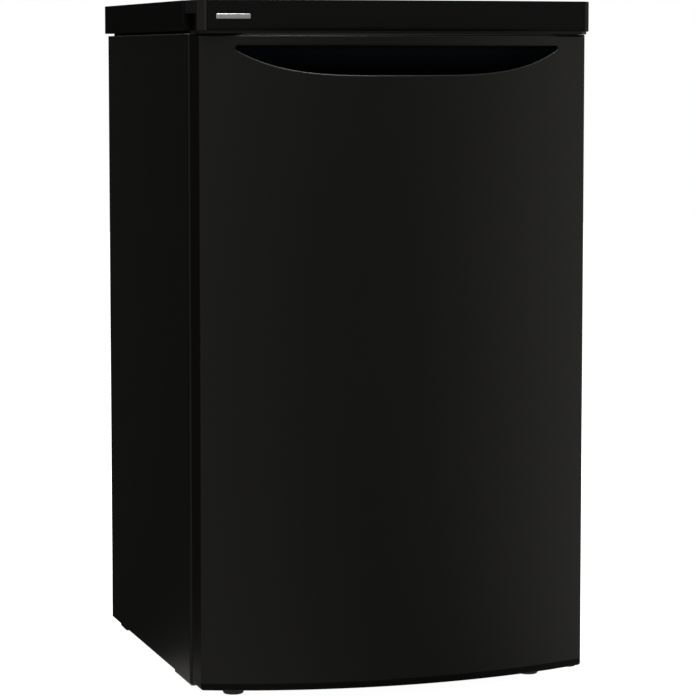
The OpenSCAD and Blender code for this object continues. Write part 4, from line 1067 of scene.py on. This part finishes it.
ease_edges(finished("compressor_leg_plate", plate_shape, shell_paint, "cabinet", ("compressor",),
                    30.0), 0.0006, 3)
copper = metal_material("drawn_copper", (0.52, 0.21, 0.10), (0.78, 0.38, 0.22), (0.24, 0.42), 260.0,
                        0.00006)
stub_shape = bmesh.new()
for stub_angle, stub_height in ((35, 0.060), (62, 0.078), (150, 0.055)):
    out = Vector((math.cos(math.radians(stub_angle)), -math.sin(math.radians(stub_angle)), 0))
    root = Vector((pump_x, pump_y, pump_base + stub_height)) + out * (pump_wall - 0.004)
    add_tube(stub_shape,
             round_path([root, root + out * 0.016, root + out * 0.016 + Vector((0, 0, 0.030))],
                        0.006), 0.0030)
finished("compressor_stubs", stub_shape, copper, "cabinet", (), 45.0)

# ---- Compressor mounts ----------------------------------------------------------------------
# Black rubber grommets with a waist and a flanged head stand on the zinc-coated platform.
rubber = skin_material("mount_rubber", (0.010, 0.010, 0.010), (0.015, 0.015, 0.0145), (0.6, 0.75),
                       700.0, 0.00020, 10.0, 0.15)
mount_shape = bmesh.new()
for mount_x in (pump_x - 0.078, pump_x + 0.078):
    for mount_y in (pump_y - 0.048, pump_y + 0.048):
        add_turned(mount_shape,
                   [(0.0088, 0.0), (0.0100, 0.0010), (0.0100, 0.0035), (0.0078, 0.0050),
                    (0.0078, 0.0070), (0.0100, 0.0085), (0.0100, 0.0110), (0.0092, 0.0119),
                    (0.0038, 0.0119), (0.0038, 0.0151), (0.0070, 0.0151), (0.0070, 0.0180),
                    (0.0062, 0.0189), (0.0022, 0.0190)], (mount_x, mount_y, 0.018), (0, 0, 1), 28)
finished("compressor_mounts", mount_shape, rubber, "cabinet", ("compressor_grommets",),
         35.0)

# ---- Relay cover and cable gland ------------------------------------------------------------
# A black moulded cover with cooling slots clips over the compressor's relay; the mains lead
# would enter through its gland.
ease_edges(finished("relay_box", frame_shape("relay_cover"), black_moulding, "cabinet",
                    ("relay_cover",), 30.0), 0.0030, 4)
vent_shape = bmesh.new()
for vent in range(6):
    add_block(vent_shape, (0.0456, 0.144 + vent * 0.008, 0.066),
              (0.0468, 0.148 + vent * 0.008, 0.100), 0.0005, 2)
add_block(vent_shape, (0.014, 0.1975, 0.094), (0.040, 0.1990, 0.104), 0.0006, 2)
finished("relay_box_ribs", vent_shape, black_moulding, "cabinet", (), 35.0)
eased_copy("mains_cable_gland", 0.0006, black_moulding, "cabinet", 3)

# ---- Evaporation tray and drain -------------------------------------------------------------
# Melt water runs down a white tube into a black tray on the warm compressor.
eased_copy("evaporation_tray", 0.0010, black_moulding, "cabinet", 3)
eased_copy("drain_tube", 0.0005, white_moulding, "cabinet")

# ---- Refrigerant pipes and filter drier -----------------------------------------------------
# Soft copper pipe, bent by hand, joins compressor, condenser and drier with brazed ends. From
# the drier's other end a long thin capillary is wound into a loose coil and goes to the inside.
pipe_shape = bmesh.new()
pipe_out_z, drier_x, drier_y, drier_low = 0.090, 0.197, 0.128, 0.060
pipe_left = pump_x - pump_radius + 0.004
add_tube(pipe_shape,
         round_path([(pipe_left, pump_y, pipe_out_z), (pipe_left - 0.060, pump_y, pipe_out_z),
                     (pipe_left - 0.060, coil_y, pipe_out_z), (-coil_half, coil_y, pipe_out_z),
                     (-coil_half, coil_y, coil_low - 0.002)], 0.014), coil_tube)
add_tube(pipe_shape,
         round_path([(-coil_half, coil_y, coil_low - 0.014), (-coil_half, coil_y, coil_low),
                     (-coil_half + 0.014, coil_y, coil_low)], 0.008), coil_tube)
add_tube(pipe_shape,
         round_path([(drier_x, drier_y, 0.143), (drier_x, drier_y, 0.162), (drier_x, coil_y, 0.162),
                     (coil_half, coil_y, 0.162), (coil_half, coil_y, coil_low - 0.025)], 0.0046),
         coil_tube)
for ring_x, ring_y, ring_z, ring_way in ((pipe_left + 0.002, pump_y, pipe_out_z, (-1, 0, 0)),
                                         (drier_x, drier_y, 0.1455, (0, 0, 1))):
    add_turned(pipe_shape,
               [(0.0024, -0.004), (0.0036, -0.0030), (0.0038, 0.0), (0.0032, 0.0030),
                (0.0024, 0.0045)], (ring_x, ring_y, ring_z), ring_way, 20)
finished("copper_pipes", pipe_shape, copper, "cabinet", ("refrigerant_pipes",), 50.0)
drier_shape = bmesh.new()
drier_profile = [(0.0020, -0.016), (0.0024, -0.010), (0.0046, -0.0065), (0.0075, -0.0035),
                 (0.0090, 0.002), (0.0090, 0.010), (0.0084, 0.0112), (0.0084, 0.0128),
                 (0.0090, 0.014), (0.0090, 0.078), (0.0075, 0.0835), (0.0046, 0.0865),
                 (0.0030, 0.0890)]
add_turned(drier_shape, drier_profile, (drier_x, drier_y, drier_low), (0, 0, 1), 32)
capillary = [(drier_x, drier_y, drier_low - 0.014), (drier_x, drier_y, drier_low - 0.022)]
for step in range(4 * 24 + 1):
    turn = 2 * math.pi * step / 24
    capillary.append((drier_x - 0.026 + 0.026 * math.cos(turn), drier_y + 0.026 * math.sin(turn),
                      drier_low - 0.024 + step * 0.0001))
capillary += [(drier_x, drier_y - 0.012, 0.060), (drier_x, drier_y - 0.030, 0.100),
              (drier_x, drier_y - 0.036, 0.180)]
add_tube(drier_shape, capillary, 0.0010, 8)
finished("drier_and_capillary", drier_shape, copper, "cabinet", ("filter_drier",), 45.0)

# ---- Hinge and foot brackets ----------------------------------------------------------------
# Pressed steel plates, dark zinc plated, with the hinge pins riveted in. Countersunk screws hold
# the upper one, and pan-head screws the two under the cabinet.
bracket_steel = skin_material("dark_zinc_plate", (0.10, 0.10, 0.105), (0.16, 0.16, 0.165),
                              (0.30, 0.45), 900.0, 0.00008, 20.0, 0.05, Metallic=0.85)
for bracket_node in ("upper_hinge_bracket", "lower_hinge_bracket", "left_foot_bracket"):
    eased_copy(bracket_node, 0.0004, bracket_steel, "cabinet")
eased_copy("bracket_screws", 0.0003, screw_zinc, "cabinet")

# ---- Levelling feet -------------------------------------------------------------------------
# A zinc-plated threaded stud is moulded into a black pad with finger notches round its rim.
# Turning the pad by hand levels the front.
for foot_body, foot_sign in (("front_left_foot", -1), ("front_right_foot", 1)):
    foot_shape = bmesh.new()
    foot_rings = []
    for pad_radius, pad_z in ((0.0100, 0.0), (0.0118, 0.0004), (0.0127, 0.0016), (0.0130, 0.0030),
                              (0.0130, 0.0095), (0.0126, 0.0110), (0.0115, 0.0121),
                              (0.0060, 0.0123)):
        foot_rings.append([(foot_sign * 0.194 + math.cos(turn) * (pad_radius - notch),
                            -0.206 + math.sin(turn) * (pad_radius - notch), pad_z)
                           for turn, notch in ((2 * math.pi * side / 96, 0.0006
                                                if side % 4 < 2 else 0.0)
                                               for side in range(96))])
    loft(foot_shape, foot_rings)
    finished(foot_body + "_pad", foot_shape, black_moulding, foot_body, (foot_body,),
             30.0)
    stud_shape = bmesh.new()
    stud_profile = [(0.0036, 0.0118)]
    for ridge in range(15):
        stud_profile += [(0.0034, 0.0126 + ridge * 0.00125), (0.0040, 0.0132 + ridge * 0.00125)]
    add_turned(stud_shape, stud_profile + [(0.0034, 0.0316), (0.0028, 0.0320)],
               (foot_sign * 0.194, -0.206, 0), (0, 0, 1), 28)
    finished(foot_body + "_stud", stud_shape, screw_zinc, foot_body, (), 30.0)
